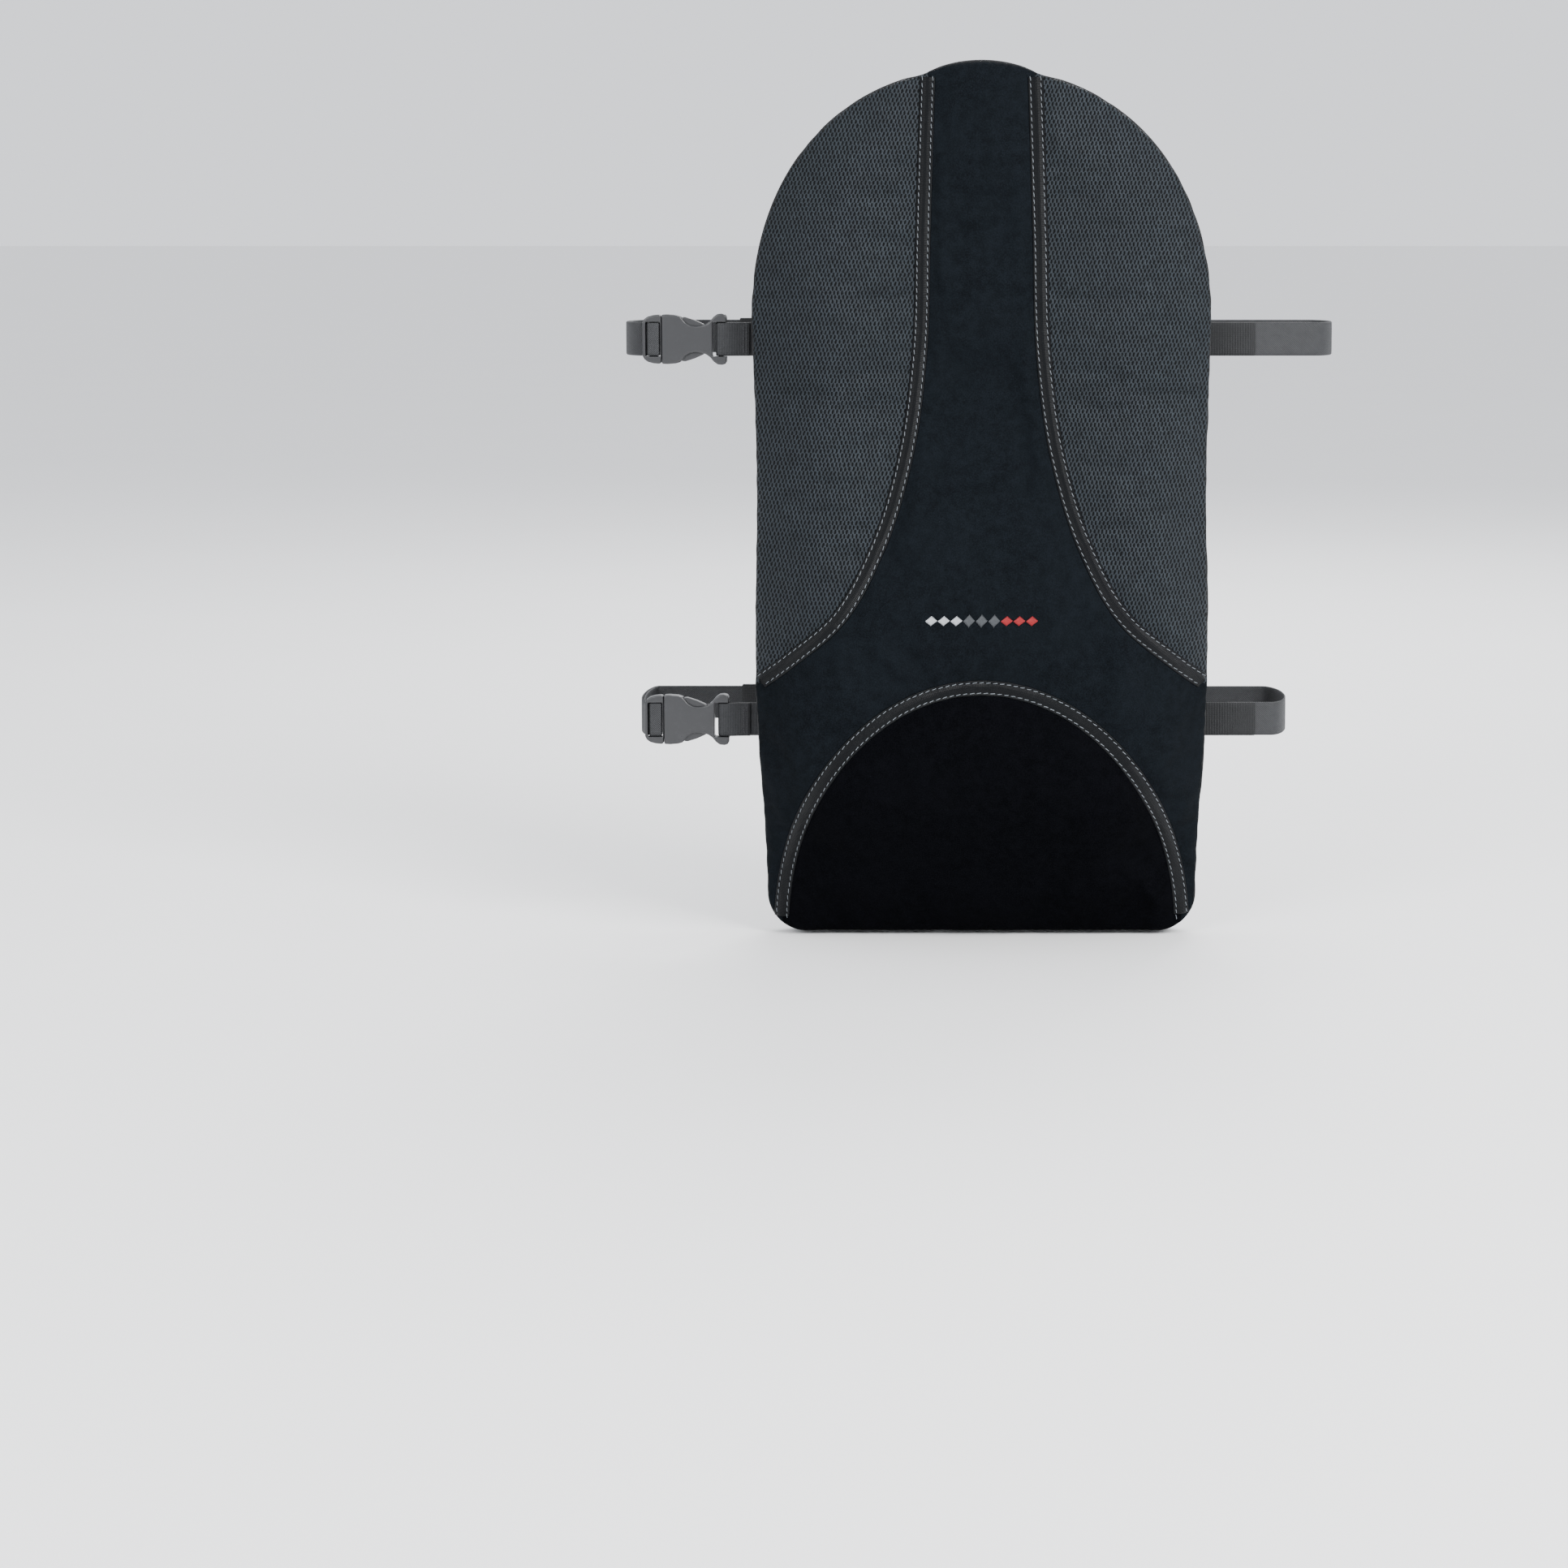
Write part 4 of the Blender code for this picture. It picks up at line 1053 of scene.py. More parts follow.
@dataclass(frozen=True)
class Strip:
    """The cut of a flat woven strip."""

    width: float
    thickness: float
    across: int = 9

    def profile(self) -> Points:
        """The strip's closed outline, as (place across, offset) with thinner rounded edges."""
        place = np.linspace(-1.0, 1.0, self.across)
        half = 0.5 * self.width - 0.45 * self.thickness
        plump = 0.5 * self.thickness * (1.0 - 0.10 * np.abs(place) ** 6)
        edge = 0.5 * self.width
        upper = np.column_stack([half * place, plump])
        lower = np.column_stack([half * place[::-1], -plump[::-1]])
        return np.vstack([upper, [(edge, 0.0)], lower, [(-edge, 0.0)]])

    def along(self, path: Points, closed: bool = False) -> tuple[Points, Faces, Points]:
        """Sweeps the strip along a plane path.

        Args:
            path: The path's points in its plane.
            closed: Whether it joins its own start.

        Returns:
            Points as (path's plane, place across), faces and lay.
        """
        heading = directions(path, closed)
        normal = np.column_stack([-heading[:, 1], heading[:, 0]])
        profile = self.profile()
        steps = np.linalg.norm(np.diff(path, axis=0), axis=1)
        reach = np.concatenate([[0.0], np.cumsum(steps)])
        points, lay = [], []
        for here, out, run in zip(path, normal, reach):
            plane = here + profile[:, 1:2] * out
            points.append(np.column_stack([plane, profile[:, 0]]))
            lay.append(np.column_stack([np.full(len(profile), run), profile[:, 0], profile[:, 1]]) * MM)
        count, rings = len(profile), len(path)
        faces: Faces = []
        for k in range(rings if closed else rings - 1):
            for j in range(count):
                a, b = k * count + j, k * count + (j + 1) % count
                c, d = (k + 1) % rings * count + (j + 1) % count, (k + 1) % rings * count + j
                faces.append((a, b, c, d))
        if not closed:
            faces.append(tuple(range(count))[::-1])
            faces.append(tuple((rings - 1) * count + j for j in range(count)))
        return np.vstack(points), faces, np.vstack(lay)


def outward(obj: bpy.types.Object) -> bpy.types.Object:
    """Turns the faces of a closed piece to face out."""
    shape = bmesh.new()
    shape.from_mesh(obj.data)
    bmesh.ops.recalc_face_normals(shape, faces=shape.faces)
    shape.to_mesh(obj.data)
    shape.free()
    return obj


# ---- the cushion's plan --------------------------------------------------------------------------


@dataclass
class Plan:
    """The cushion's outline, seams and depth, as in the frame."""

    height: float = 650.0
    shoulder_z: float = 455.0
    shoulder_half: float = 170.4
    dome_power: float = 2.2
    crown_rise: float = 6.0
    crown_half: float = 44.0
    sides: tuple[tuple[float, float], ...] = (
        (170.4, 455.0),
        (166.8, 335.0),
        (167.2, 190.0),
        (161.8, 75.0),
        (161.0, 30.0),
    )
    corner: float = 30.0
    seam: tuple[tuple[float, float], ...] = (
        (39.0, 656.0),
        (43.0, 520.0),
        (45.3, 438.0),
        (55.7, 360.0),
        (75.6, 295.0),
        (104.0, 244.0),
        (139.0, 213.0),
        (176.0, 184.0),
    )
    arch_half: float = 150.0
    arch_rise: float = 194.0
    hollow_depth: float = 24.0
    hollow: tuple[float, float, float, float] = (48.0, 130.0, 250.0, 410.0)
    belt_recess: float = 2.0
    recess: tuple[float, float] = (463.0, 475.0)
    rim_depth: float = 26.0
    depths: tuple[tuple[float, float], ...] = ((0, 46), (70, 56), (190, 70), (330, 57), (480, 47), (650, 36))
    edge_rounding: float = 70.0
    lumbar_swell: float = 8.0
    lumbar_rounding: float = 60.0
    groove: float = 2.0
    groove_half: float = 10.0

    def __post_init__(self) -> None:
        """Draws the outline and the three seams."""
        self.outline = self.draw_outline()
        self.right = through(self.seam, 140)
        self.left = self.right * (-1.0, 1.0)
        turn = np.linspace(-0.04, math.pi + 0.04, 150)
        self.arch = np.column_stack([self.arch_half * np.cos(turn), self.arch_rise * np.sin(turn)])

    def draw_outline(self) -> Points:
        """The closed outline, counter-clockwise seen from the front."""
        turn = np.linspace(-0.5 * math.pi, 0.0, 14)
        centre_x = self.sides[-1][0] - self.corner
        corner = np.column_stack([centre_x + self.corner * np.cos(turn), self.corner * (1.0 + np.sin(turn))])
        side = through(self.sides, 100)[::-1]
        turn = np.linspace(0.0, 0.5 * math.pi, 120)
        x = self.shoulder_half * np.maximum(np.cos(turn), 0.0) ** (2.0 / self.dome_power)
        rise = self.height - self.crown_rise - self.shoulder_z
        z = self.shoulder_z + rise * np.sin(turn) ** (2.0 / self.dome_power)
        z += self.crown_rise * np.clip(1.0 - (x / self.crown_half) ** 2, 0.0, 1.0)
        x[-1] = 0.0
        right = np.vstack([corner, side[1:], np.column_stack([x, z])[1:]])
        return np.vstack([right, right[::-1][1:] * (-1.0, 1.0)])

    def rear(self, points: Points) -> Points:
        """Y of the rear face at each point."""
        z = points[:, 1]
        start, full, end, flat = self.hollow
        low = -self.hollow_depth * ease((z - start) / (full - start))
        past = 1.0 - ease((z - end) / (flat - end))
        low_z, high_z = self.recess
        recess = -self.belt_recess * (1.0 - np.clip((z - low_z) / (high_z - low_z), 0, 1))
        high = recess - (self.hollow_depth - self.belt_recess) * past
        return np.where(z < end, low, high)

    def front(self, points: Points) -> Points:
        """Y of the front face at each point, with the seams drawn in."""
        stations = np.array(self.depths, float)
        z = np.linspace(0.0, self.height, 66)
        curve = np.interp(z, stations[:, 0], stations[:, 1])
        curve = np.convolve(np.pad(curve, 5, mode="edge"), np.full(11, 1.0 / 11.0), mode="valid")
        depth = np.interp(points[:, 1], z, curve)
        edge = distance(points, self.outline, closed=True)
        over = 1.0 - (1.0 - np.clip(edge / self.edge_rounding, 0.0, 1.0)) ** 2
        from_arch = np.where(within(points, self.arch), distance(points, self.arch), 0.0)
        swell = 1.0 - (1.0 - np.clip(from_arch / self.lumbar_rounding, 0.0, 1.0)) ** 2
        swell *= np.clip(edge / self.edge_rounding, 0.0, 1.0)
        thick = self.rim_depth + (depth - self.rim_depth) * over + self.lumbar_swell * swell
        smooth = self.rear(points) - thick
        fade = np.clip(edge / self.groove_half, 0.0, 1.0)
        return smooth + self.groove * fade * np.exp(-((self.from_seams(points) / self.groove_half) ** 2))

    def from_seams(self, points: Points) -> Points:
        """Distance of each point to the nearest seam."""
        return np.minimum.reduce([distance(points, seam) for seam in (self.right, self.left, self.arch)])


class Panel(Enum):
    """The cloth panels of the cover, by the material index that marks them."""

    SIDE_LEFT = 0
    SIDE_RIGHT = 1
    CENTRE = 2
    LUMBAR = 3
    SIDE_GUSSET = 4
    HEM_GUSSET = 5
    BACK_UPPER = 6
    BACK_LOWER = 7
    ZIP_SLOT = 8


@dataclass(frozen=True)
class Sewn:
    """What one panel becomes."""

    node: str
    finish: Finish
    slot: str
    fill: float


SEWN = {
    Panel.SIDE_LEFT: Sewn("side_panel_left", AIR_MESH, "air_mesh", 0.8),
    Panel.SIDE_RIGHT: Sewn("side_panel_right", AIR_MESH, "air_mesh", 0.8),
    Panel.CENTRE: Sewn("centre_panel", KNIT, "knit", 0.8),
    Panel.LUMBAR: Sewn("lumbar_panel", PAD_KNIT_WITH_PAINTED_SHADE, "knit", 0.85),
    Panel.SIDE_GUSSET: Sewn("side_gusset", REAR_CLOTH, "rear_cloth", 0.7),
    Panel.HEM_GUSSET: Sewn("hem_gusset", REAR_CLOTH, "rear_cloth", 0.7),
    Panel.BACK_UPPER: Sewn("back_panel_upper", REAR_CLOTH, "rear_cloth", 0.7),
    Panel.BACK_LOWER: Sewn("back_panel_lower", REAR_CLOTH, "rear_cloth", 0.7),
}


@dataclass
class Draft:
    """The closed cover while it is drawn."""

    points: list[Points] = field(default_factory=list)
    held: list[Points] = field(default_factory=list)
    faces: Faces = field(default_factory=list)
    panels: list[Points] = field(default_factory=list)
    count: int = 0

    def add_points(self, points: Points, held: Points) -> int:
        """Adds points and whether each is held.

        Args:
            points: The points, in millimetres above the hem.
            held: 1 for each point that the filling leaves in place.

        Returns:
            The number of the first.
        """
        first = self.count
        self.points.append(points)
        self.held.append(held)
        self.count += len(points)
        return first

    def add_faces(self, faces: Faces, panels: Points) -> None:
        """Adds faces and the panel of each."""
        self.faces += faces
        self.panels.append(panels)


@dataclass
class Cover:
    """The sewn cover: blown up by a cloth simulation, then cut into its panels."""

    plan: Plan
    front_spacing: float = 6.2
    rear_spacing: float = 9.5
    rings: int = 6
    gusset_bulge: float = -0.8
    hem_top: float = 12.4
    slot_half: tuple[float, float] = (124.0, 6.6)
    slot_step: float = 8.0
    same_point: float = 0.1
    cloth: float = 1.2
    held_half: float = 7.0
    most_front: float = 6.5
    most_gusset: float = 0.7
    most_rear: float = 1.6
    frames: int = 20
    pressure: float = 4.0
    seam_ditch: float = 0.5
    pucker: float = 0.32

    def build(self) -> BVHTree:
        """Makes every panel.

        Returns:
            The cover's surface, for what is laid on it, in millimetres above the hem.
        """
        self.draw()
        whole = self.make_whole()
        self.blow_up(whole)
        self.ditch(whole)
        points, faces, panels = self.subdivided(whole)
        bpy.data.objects.remove(whole, do_unlink=True)
        points = self.puckered(points)
        for panel, sewn in SEWN.items():
            self.cut_panel(points, faces, panels, panel, sewn)
        return BVHTree.FromPolygons(points.tolist(), faces)

    def draw(self) -> None:
        """Draws the closed mesh: front, boxing strip and rear."""
        draft = Draft()
        loop, front_rim = self.draw_front(draft)
        self.front_count = draft.count
        rear_rim = self.draw_gusset(draft, loop, front_rim)
        self.rear_first = draft.count
        self.draw_rear(draft, loop, rear_rim)
        self.points, self.faces = np.vstack(draft.points), draft.faces
        self.panels = np.concatenate(draft.panels)
        self.held = np.concatenate(draft.held)
        self.rims = np.array(front_rim + rear_rim)

    def draw_front(self, draft: Draft) -> tuple[Points, list[int]]:
        """Draws the front with its seams.

        Args:
            draft: Where it is gathered.

        Returns:
            The rim's points in the plane of the face, and their numbers.
        """
        plan = self.plan
        loop = evenly(plan.outline, self.front_spacing, closed=True)
        seams = [(evenly(seam, self.front_spacing), False) for seam in (plan.right, plan.left, plan.arch)]
        flat, triangles = triangulate([(loop, True)] + seams, self.front_spacing)
        triangles = triangles[within(flat[triangles].mean(1), loop)]
        used, renamed = np.unique(triangles, return_inverse=True)
        flat, triangles = flat[used], renamed.reshape(-1, 3)
        rim = rim_of(triangles)
        middles = flat[triangles].mean(1)
        seam_x = np.interp(-middles[:, 1], -plan.right[:, 1], plan.right[:, 0])
        panels = np.full(len(triangles), Panel.CENTRE.value)
        panels[within(middles, plan.arch)] = Panel.LUMBAR.value
        panels[middles[:, 0] > seam_x] = Panel.SIDE_RIGHT.value
        panels[middles[:, 0] < -seam_x] = Panel.SIDE_LEFT.value
        held = (plan.from_seams(flat) < self.held_half).astype(float)
        held[rim] = 1.0
        draft.add_points(np.column_stack([flat[:, 0], plan.front(flat), flat[:, 1]]), held)
        draft.add_faces([tuple(int(i) for i in t) for t in triangles], panels)
        return flat[rim], rim

    def draw_gusset(self, draft: Draft, loop: Points, front_rim: list[int]) -> list[int]:
        """Draws the boxing strip round the rim.

        Args:
            draft: Where it is gathered.
            loop: The rim's points in the plane of the face.
            front_rim: Their numbers on the front.

        Returns:
            The numbers of the rear rim's points.
        """
        out = directions(loop, closed=True)
        out = np.column_stack([out[:, 1], -out[:, 0]])
        rear_y = self.plan.rear(loop)
        rings = [front_rim]
        for ring in range(1, self.rings + 1):
            share = ring / self.rings
            plane = loop + self.gusset_bulge * math.sin(math.pi * share) * out
            y = rear_y - self.plan.rim_depth * (1.0 - share)
            held = np.full(len(loop), 1.0 if ring == self.rings else 0.0)
            first = draft.add_points(np.column_stack([plane[:, 0], y, plane[:, 1]]), held)
            rings.append(list(range(first, first + len(loop))))
        faces: Faces = []
        panels = []
        for near, far in zip(rings, rings[1:]):
            for i in range(len(loop)):
                j = (i + 1) % len(loop)
                faces.append((near[i], far[i], far[j], near[j]))
                low = 0.5 * (loop[i, 1] + loop[j, 1]) < self.hem_top
                panels.append(Panel.HEM_GUSSET.value if low else Panel.SIDE_GUSSET.value)
        draft.add_faces(faces, np.array(panels))
        return rings[-1]

    def draw_rear(self, draft: Draft, loop: Points, rim: list[int]) -> None:
        """Draws the rear, parted at the level of the zip.

        Args:
            draft: Where it is gathered.
            loop: The rim's points in the plane of the face.
            rim: Their numbers.
        """
        half_x, half_z = self.slot_half
        low, high = ZIP_Z - half_z, ZIP_Z + half_z
        slot = np.array([(-half_x, low), (half_x, low), (half_x, high), (-half_x, high), (-half_x, low)])
        slot = finer(slot, self.slot_step)[:-1]
        splits, joins = [], {}
        for side in (-1.0, 1.0):
            near = int(np.argmin(np.linalg.norm(loop - (side * self.plan.sides[-1][0], ZIP_Z), axis=1)))
            joins[side] = loop[near]
            splits.append((evenly(np.array([(side * half_x, ZIP_Z), loop[near]]), self.slot_step), False))
        flat, triangles = triangulate([(loop, True), (slot, True)] + splits, self.rear_spacing)
        triangles = triangles[within(flat[triangles].mean(1), loop)]
        order = {tuple(np.round(p, 2)): rim[i] for i, p in enumerate(loop)}
        number, added = {}, []
        for i in np.unique(triangles):
            near = order.get(tuple(np.round(flat[i], 2)))
            if near is None:
                gaps = np.linalg.norm(loop - flat[i], axis=1)
                near = rim[int(np.argmin(gaps))] if gaps.min() < self.same_point else None
            if near is None:
                near = draft.count + len(added)
                added.append(i)
            number[int(i)] = near
        middles = flat[triangles].mean(1)
        split_z = np.where(middles[:, 0] > 0, joins[1.0][1], joins[-1.0][1])
        share = np.clip((np.abs(middles[:, 0]) - half_x) / (np.abs(joins[1.0][0]) - half_x), 0.0, 1.0)
        upper = middles[:, 1] > ZIP_Z + (split_z - ZIP_Z) * share
        panels = np.where(upper, Panel.BACK_UPPER.value, Panel.BACK_LOWER.value)
        panels[within(middles, slot)] = Panel.ZIP_SLOT.value
        inner = flat[added]
        from_belts = np.minimum.reduce([np.abs(inner[:, 1] - height) for height in BELT_Z.values()])
        free = ease((from_belts - 22.0) / 12.0) * ease((inner[:, 1] - 48.0) / 20.0)
        held = (free < 0.5).astype(float)
        draft.add_points(np.column_stack([inner[:, 0], self.plan.rear(inner), inner[:, 1]]), held)
        draft.add_faces([tuple(number[int(i)] for i in t[::-1]) for t in triangles], panels)

    def make_whole(self) -> bpy.types.Object:
        """The closed cover as one object, with its panels marked by material index."""
        mesh = bpy.data.meshes.new("whole_cover")
        mesh.from_pydata(framed(self.points).tolist(), [], self.faces)
        for _ in Panel:
            mesh.materials.append(None)
        mesh.polygons.foreach_set("material_index", self.panels.astype(np.int32))
        whole = bpy.data.objects.new("whole_cover", mesh)
        bpy.context.scene.collection.objects.link(whole)
        return outward(whole)

    def blow_up(self, whole: bpy.types.Object) -> None:
        """Blows the cover up with a cloth simulation and keeps a capped part of its movement."""
        group = whole.vertex_groups.new(name="held")
        for index in np.flatnonzero(self.held > 0.5):
            group.add([int(index)], 1.0, "REPLACE")
        modifier = whole.modifiers.new("filling", "CLOTH")
        settings = modifier.settings
        settings.quality = 6
        settings.mass = 0.3
        settings.tension_stiffness = settings.compression_stiffness = 12.0
        settings.shear_stiffness = 6.0
        settings.bending_stiffness = 0.35
        settings.shrink_min = settings.shrink_max = -0.035
        settings.use_pressure = True
        settings.uniform_pressure_force = self.pressure
        settings.vertex_group_mass = "held"
        settings.effector_weights.gravity = 0.0
        scene = bpy.context.scene
        modifier.point_cache.frame_start, modifier.point_cache.frame_end = 1, self.frames
        for step in range(1, self.frames + 1):
            scene.frame_set(step)
        graph = bpy.context.evaluated_depsgraph_get()
        blown = whole.evaluated_get(graph).to_mesh()
        moved = np.empty(3 * len(blown.vertices))
        blown.vertices.foreach_get("co", moved)
        rest = framed(self.points)
        shift = (moved.reshape(-1, 3) - rest) / MM
        most = np.full(len(rest), self.most_gusset)
        most[: self.front_count] = self.most_front
        most[self.rear_first :] = self.most_rear
        size = np.linalg.norm(shift, axis=1)
        kept = most * np.tanh(size / most)
        shift *= (kept / np.maximum(size, 1e-6))[:, None]
        log.info("filling moved the cloth by up to %.1f mm, kept %.1f mm", size.max(), kept.max())
        whole.modifiers.remove(modifier)
        whole.vertex_groups.remove(group)
        scene.frame_set(1)
        self.points = self.points + shift

    def ditch(self, whole: bpy.types.Object) -> None:
        """Draws the rim seams in and writes the points back."""
        middle = np.array([0.0, -25.0, 300.0])
        inward = middle - self.points[self.rims]
        inward[:, 2] = np.clip(inward[:, 2], -150.0, 150.0)
        inward /= np.linalg.norm(inward, axis=1)[:, None]
        self.points[self.rims] += self.seam_ditch * inward
        whole.data.vertices.foreach_set("co", framed(self.points).ravel())
        whole.data.update()

    def subdivided(self, whole: bpy.types.Object) -> tuple[Points, Faces, Points]:
        """One subdivision of the whole cover.

        Args:
            whole: The closed cover.

        Returns:
            Its points in millimetres, faces, and panel of each face.
        """
        modifier = whole.modifiers.new("finer", "SUBSURF")
        modifier.levels = modifier.render_levels = 1
        finer_mesh = whole.evaluated_get(bpy.context.evaluated_depsgraph_get()).to_mesh()
        points = np.empty(3 * len(finer_mesh.vertices))
        finer_mesh.vertices.foreach_get("co", points)
        panels = np.empty(len(finer_mesh.polygons), np.int32)
        finer_mesh.polygons.foreach_get("material_index", panels)
        faces = [tuple(polygon.vertices) for polygon in finer_mesh.polygons]
        return points.reshape(-1, 3) / MM + (0.0, 0.0, ORIGIN_Z), faces, panels

    def puckered(self, points: Points) -> Points:
        """Gathers the cloth a little beside each band.

        Args:
            points: The cover's points.

        Returns:
            The moved points.
        """
        flat = points[:, [0, 2]]
        away = self.plan.from_seams(flat)
        x, z = flat[:, 0], flat[:, 1]
        wave = np.sin(0.52 * z + 0.0021 * x * x + 2.0 * np.sin(0.11 * z))
        wave *= np.cos(0.37 * x + 1.3 * np.sin(0.07 * z))
        near = np.exp(-(((away - 9.5) / 5.0) ** 2))
        slow = np.sin(0.031 * z + 0.7) * np.sin(0.043 * x + 0.4) + 0.6 * np.sin(0.058 * z - 0.049 * x)
        front = np.clip(-(points[:, 1] - self.plan.rear(flat)) - 30.0, 0.0, 10.0) / 10.0
        moved = points.copy()
        waved = self.pucker * wave * near + 0.5 * slow * np.clip((away - 8.0) / 25.0, 0.0, 1.0)
        moved[:, 1] -= front * waved
        return moved

    def cut_panel(self, points: Points, faces: Faces, panels: Points, panel: Panel, sewn: Sewn) -> None:
        """Cuts one panel out of the cover and gives it thickness.

        Args:
            points: The whole cover's points.
            faces: Its faces.
            panels: The panel of each face.
            panel: Which panel to cut.
            sewn: What it becomes.
        """
        chosen = [faces[i] for i in np.flatnonzero(panels == panel.value)]
        used = np.unique(np.concatenate([np.array(f) for f in chosen]))
        number = {int(old): new for new, old in enumerate(used)}
        parts = Parts()
        parts.add(points[used], [tuple(number[i] for i in f) for f in chosen])
        obj = make_piece(f"{sewn.node}_cloth", parts, sewn.finish, (sewn.node,))
        thick = obj.modifiers.new("cloth thickness", "SOLIDIFY")
        thick.thickness = self.cloth * MM
        thick.offset = -1.0


@dataclass
class Surface:
    """The cover's front face, for what is sewn on it."""

    tree: BVHTree

    def at(self, x: float, z: float, lift: float = 0.0) -> tuple[Points, Points] | None:
        """Finds a place on the front face.

        Args:
            x: Across the front.
            z: Up from the hem.
            lift: How far out of the cloth.

        Returns:
            The point and the direction out of the cloth, or None beside the cushion.
        """
        hit, normal, _, _ = self.tree.ray_cast(Vector((x, -400.0, z)), Vector((0.0, 1.0, 0.0)))
        if hit is None:
            return None
        out = np.array(normal) if normal.y < 0 else -np.array(normal)
        return np.array(hit) + out * lift, out


@dataclass
class TrimBands:
    """The ribbed tapes over the three front seams, with two rows of stitches each."""

    plan: Plan
    surface: Surface
    half: float = 5.8
    step: float = 1.9
    rise: tuple[tuple[float, float], ...] = (
        (0.0, 1.75),
        (1.5, 1.62),
        (2.8, 1.15),
        (3.9, 0.55),
        (4.7, 0.85),
        (5.4, 0.65),
        (5.8, 0.05),
    )
    row: float = 3.9
    pitch: float = 4.9
    stitch_length: float = 3.7
    thread: float = 0.28
    stitch_lean: float = 0.28
    fine: float = 0.25
    under: tuple[float, ...] = (5.2, 0.0, -5.2)
    sunk: float = -0.8
    edge_margin: float = 1.5

    def build(self) -> None:
        """Makes the three bands and their stitches."""
        for name, seam in (("left", self.plan.left), ("right", self.plan.right), ("arch", self.plan.arch)):
            path = evenly(seam, self.step)
            keep = within(path, self.plan.outline) & (
                distance(path, self.plan.outline, closed=True) > self.edge_margin
            )
            path = path[keep]
            self.build_band(name, path)
            self.build_stitches(name, path)

    def across(self, path: Points) -> Points:
        """The direction across the band at each point of its path."""
        along = directions(path)
        return np.column_stack([-along[:, 1], along[:, 0]])

    def build_band(self, name: str, path: Points) -> None:
        """Makes one band.

        Args:
            name: Which of the three.
            path: Its middle line.
        """
        stations = np.array(self.rise)
        places = np.concatenate([-stations[::-1, 0], stations[1:, 0]])
        heights = np.concatenate([stations[::-1, 1], stations[1:, 1]])
        normal = self.across(path)
        count = len(places) + len(self.under)
        rings, lay = [], []
        for index, (here, side) in enumerate(zip(path, normal)):
            top = [self.surface.at(*(here + u * side), h) for u, h in zip(places, heights)]
            under = [self.surface.at(*(here + u * side), self.sunk) for u in self.under]
            if any(place is None for place in top + under):
                continue
            rings.append(np.array([place[0] for place in top + under]))
            run = np.full(count, index * self.step)
            lay.append(np.column_stack([run, np.concatenate([places, self.under]), 0.0 * run]) * MM)
        faces: Faces = []
        for k in range(len(rings) - 1):
            for j in range(count):
                a, b = k * count + j, k * count + (j + 1) % count
                faces.append((a, b, b + count, a + count))
        faces.append(tuple(range(count))[::-1])
        faces.append(tuple((len(rings) - 1) * count + j for j in range(count)))
        parts = Parts()
        parts.add(np.vstack(rings), faces, np.vstack(lay))
        band = make_piece(f"trim_band_{name}_tape", parts, TRIM, (f"trim_band_{name}",))
        outward(band)

    def build_stitches(self, name: str, path: Points) -> None:
        """Makes one band's two rows of stitches.

        Args:
            name: Which of the three.
            path: The band's middle line.
        """
        rows = Parts()
        lift = dict(self.rise)[self.row]
        for side in (-1.0, 1.0):
            line = evenly(path + side * self.row * self.across(path), self.fine)
            step = round(self.pitch / self.fine)
            reach = round(self.stitch_length / self.fine)
            heading = directions(line)
            for first in range(4, len(line) - reach - 4, step):
                lean = self.stitch_lean * np.array([-heading[first, 1], heading[first, 0]])
                places = (line[first] - lean, line[first + reach] + lean)
                ends = [self.surface.at(*place, lift) for place in places]
                if None in ends:
                    continue
                pair = np.array([ends[0][0], ends[1][0]])
                out = 0.5 * (ends[0][1] + ends[1][1])
                rows.add(*stitch(pair, out, self.thread, 0.5, self.fine * first))
        outward(make_piece(f"trim_band_{name}_stitches", rows, SEAM_THREAD))


@dataclass
class Motif:
    """A row of small embroidered lozenges over the arch."""

    surface: Surface
    middle_z: float = 243.5
    half_width: float = 41.0
    half_height: float = 3.4
    lozenges: int = 9
    thread: float = 0.34
    threads_each: int = 13

    def satin(self, parts: Parts, x: float, low: float, high: float, run: float) -> None:
        """One upright thread of satin stitch.

        Args:
            parts: Where it is gathered.
            x: Its place across.
            low: Its lower end.
            high: Its upper end.
            run: Its number, which sets the twist.
        """
        ends = [self.surface.at(x - 0.35, low, 0.35), self.surface.at(x + 0.35, high, 0.35)]
        if None not in ends:
            pair = np.array([ends[0][0], ends[1][0]])
            parts.add(*stitch(pair, ends[0][1], self.thread, 0.6, run))

    def build(self) -> None:
        """Makes the row of lozenges, in three tones."""
        finishes = {"pale": MOTIF_PALE, "grey": MOTIF_GREY, "red": MOTIF_RED}
        gathered = {name: Parts() for name in finishes}
        pitch = 2.0 * self.half_width / self.lozenges
        for index in range(self.lozenges):
            centre = -self.half_width + pitch * (index + 0.5)
            tone = list(finishes)[3 * index // self.lozenges]
            tall = 1.35 if tone == "grey" else 1.0
            for k in range(self.threads_each):
                u = 2.0 * (k + 0.5) / self.threads_each - 1.0
                reach = tall * self.half_height * (1.0 - abs(u)) + 0.3
                x = centre + 0.43 * pitch * u
                self.satin(gathered[tone], x, self.middle_z - reach, self.middle_z + reach, 3.0 * k)
        for name, finish in finishes.items():
            replaced = ("front_motif",) if name == "pale" else ()
            outward(make_piece(f"front_motif_{name}_threads", gathered[name], finish, replaced))


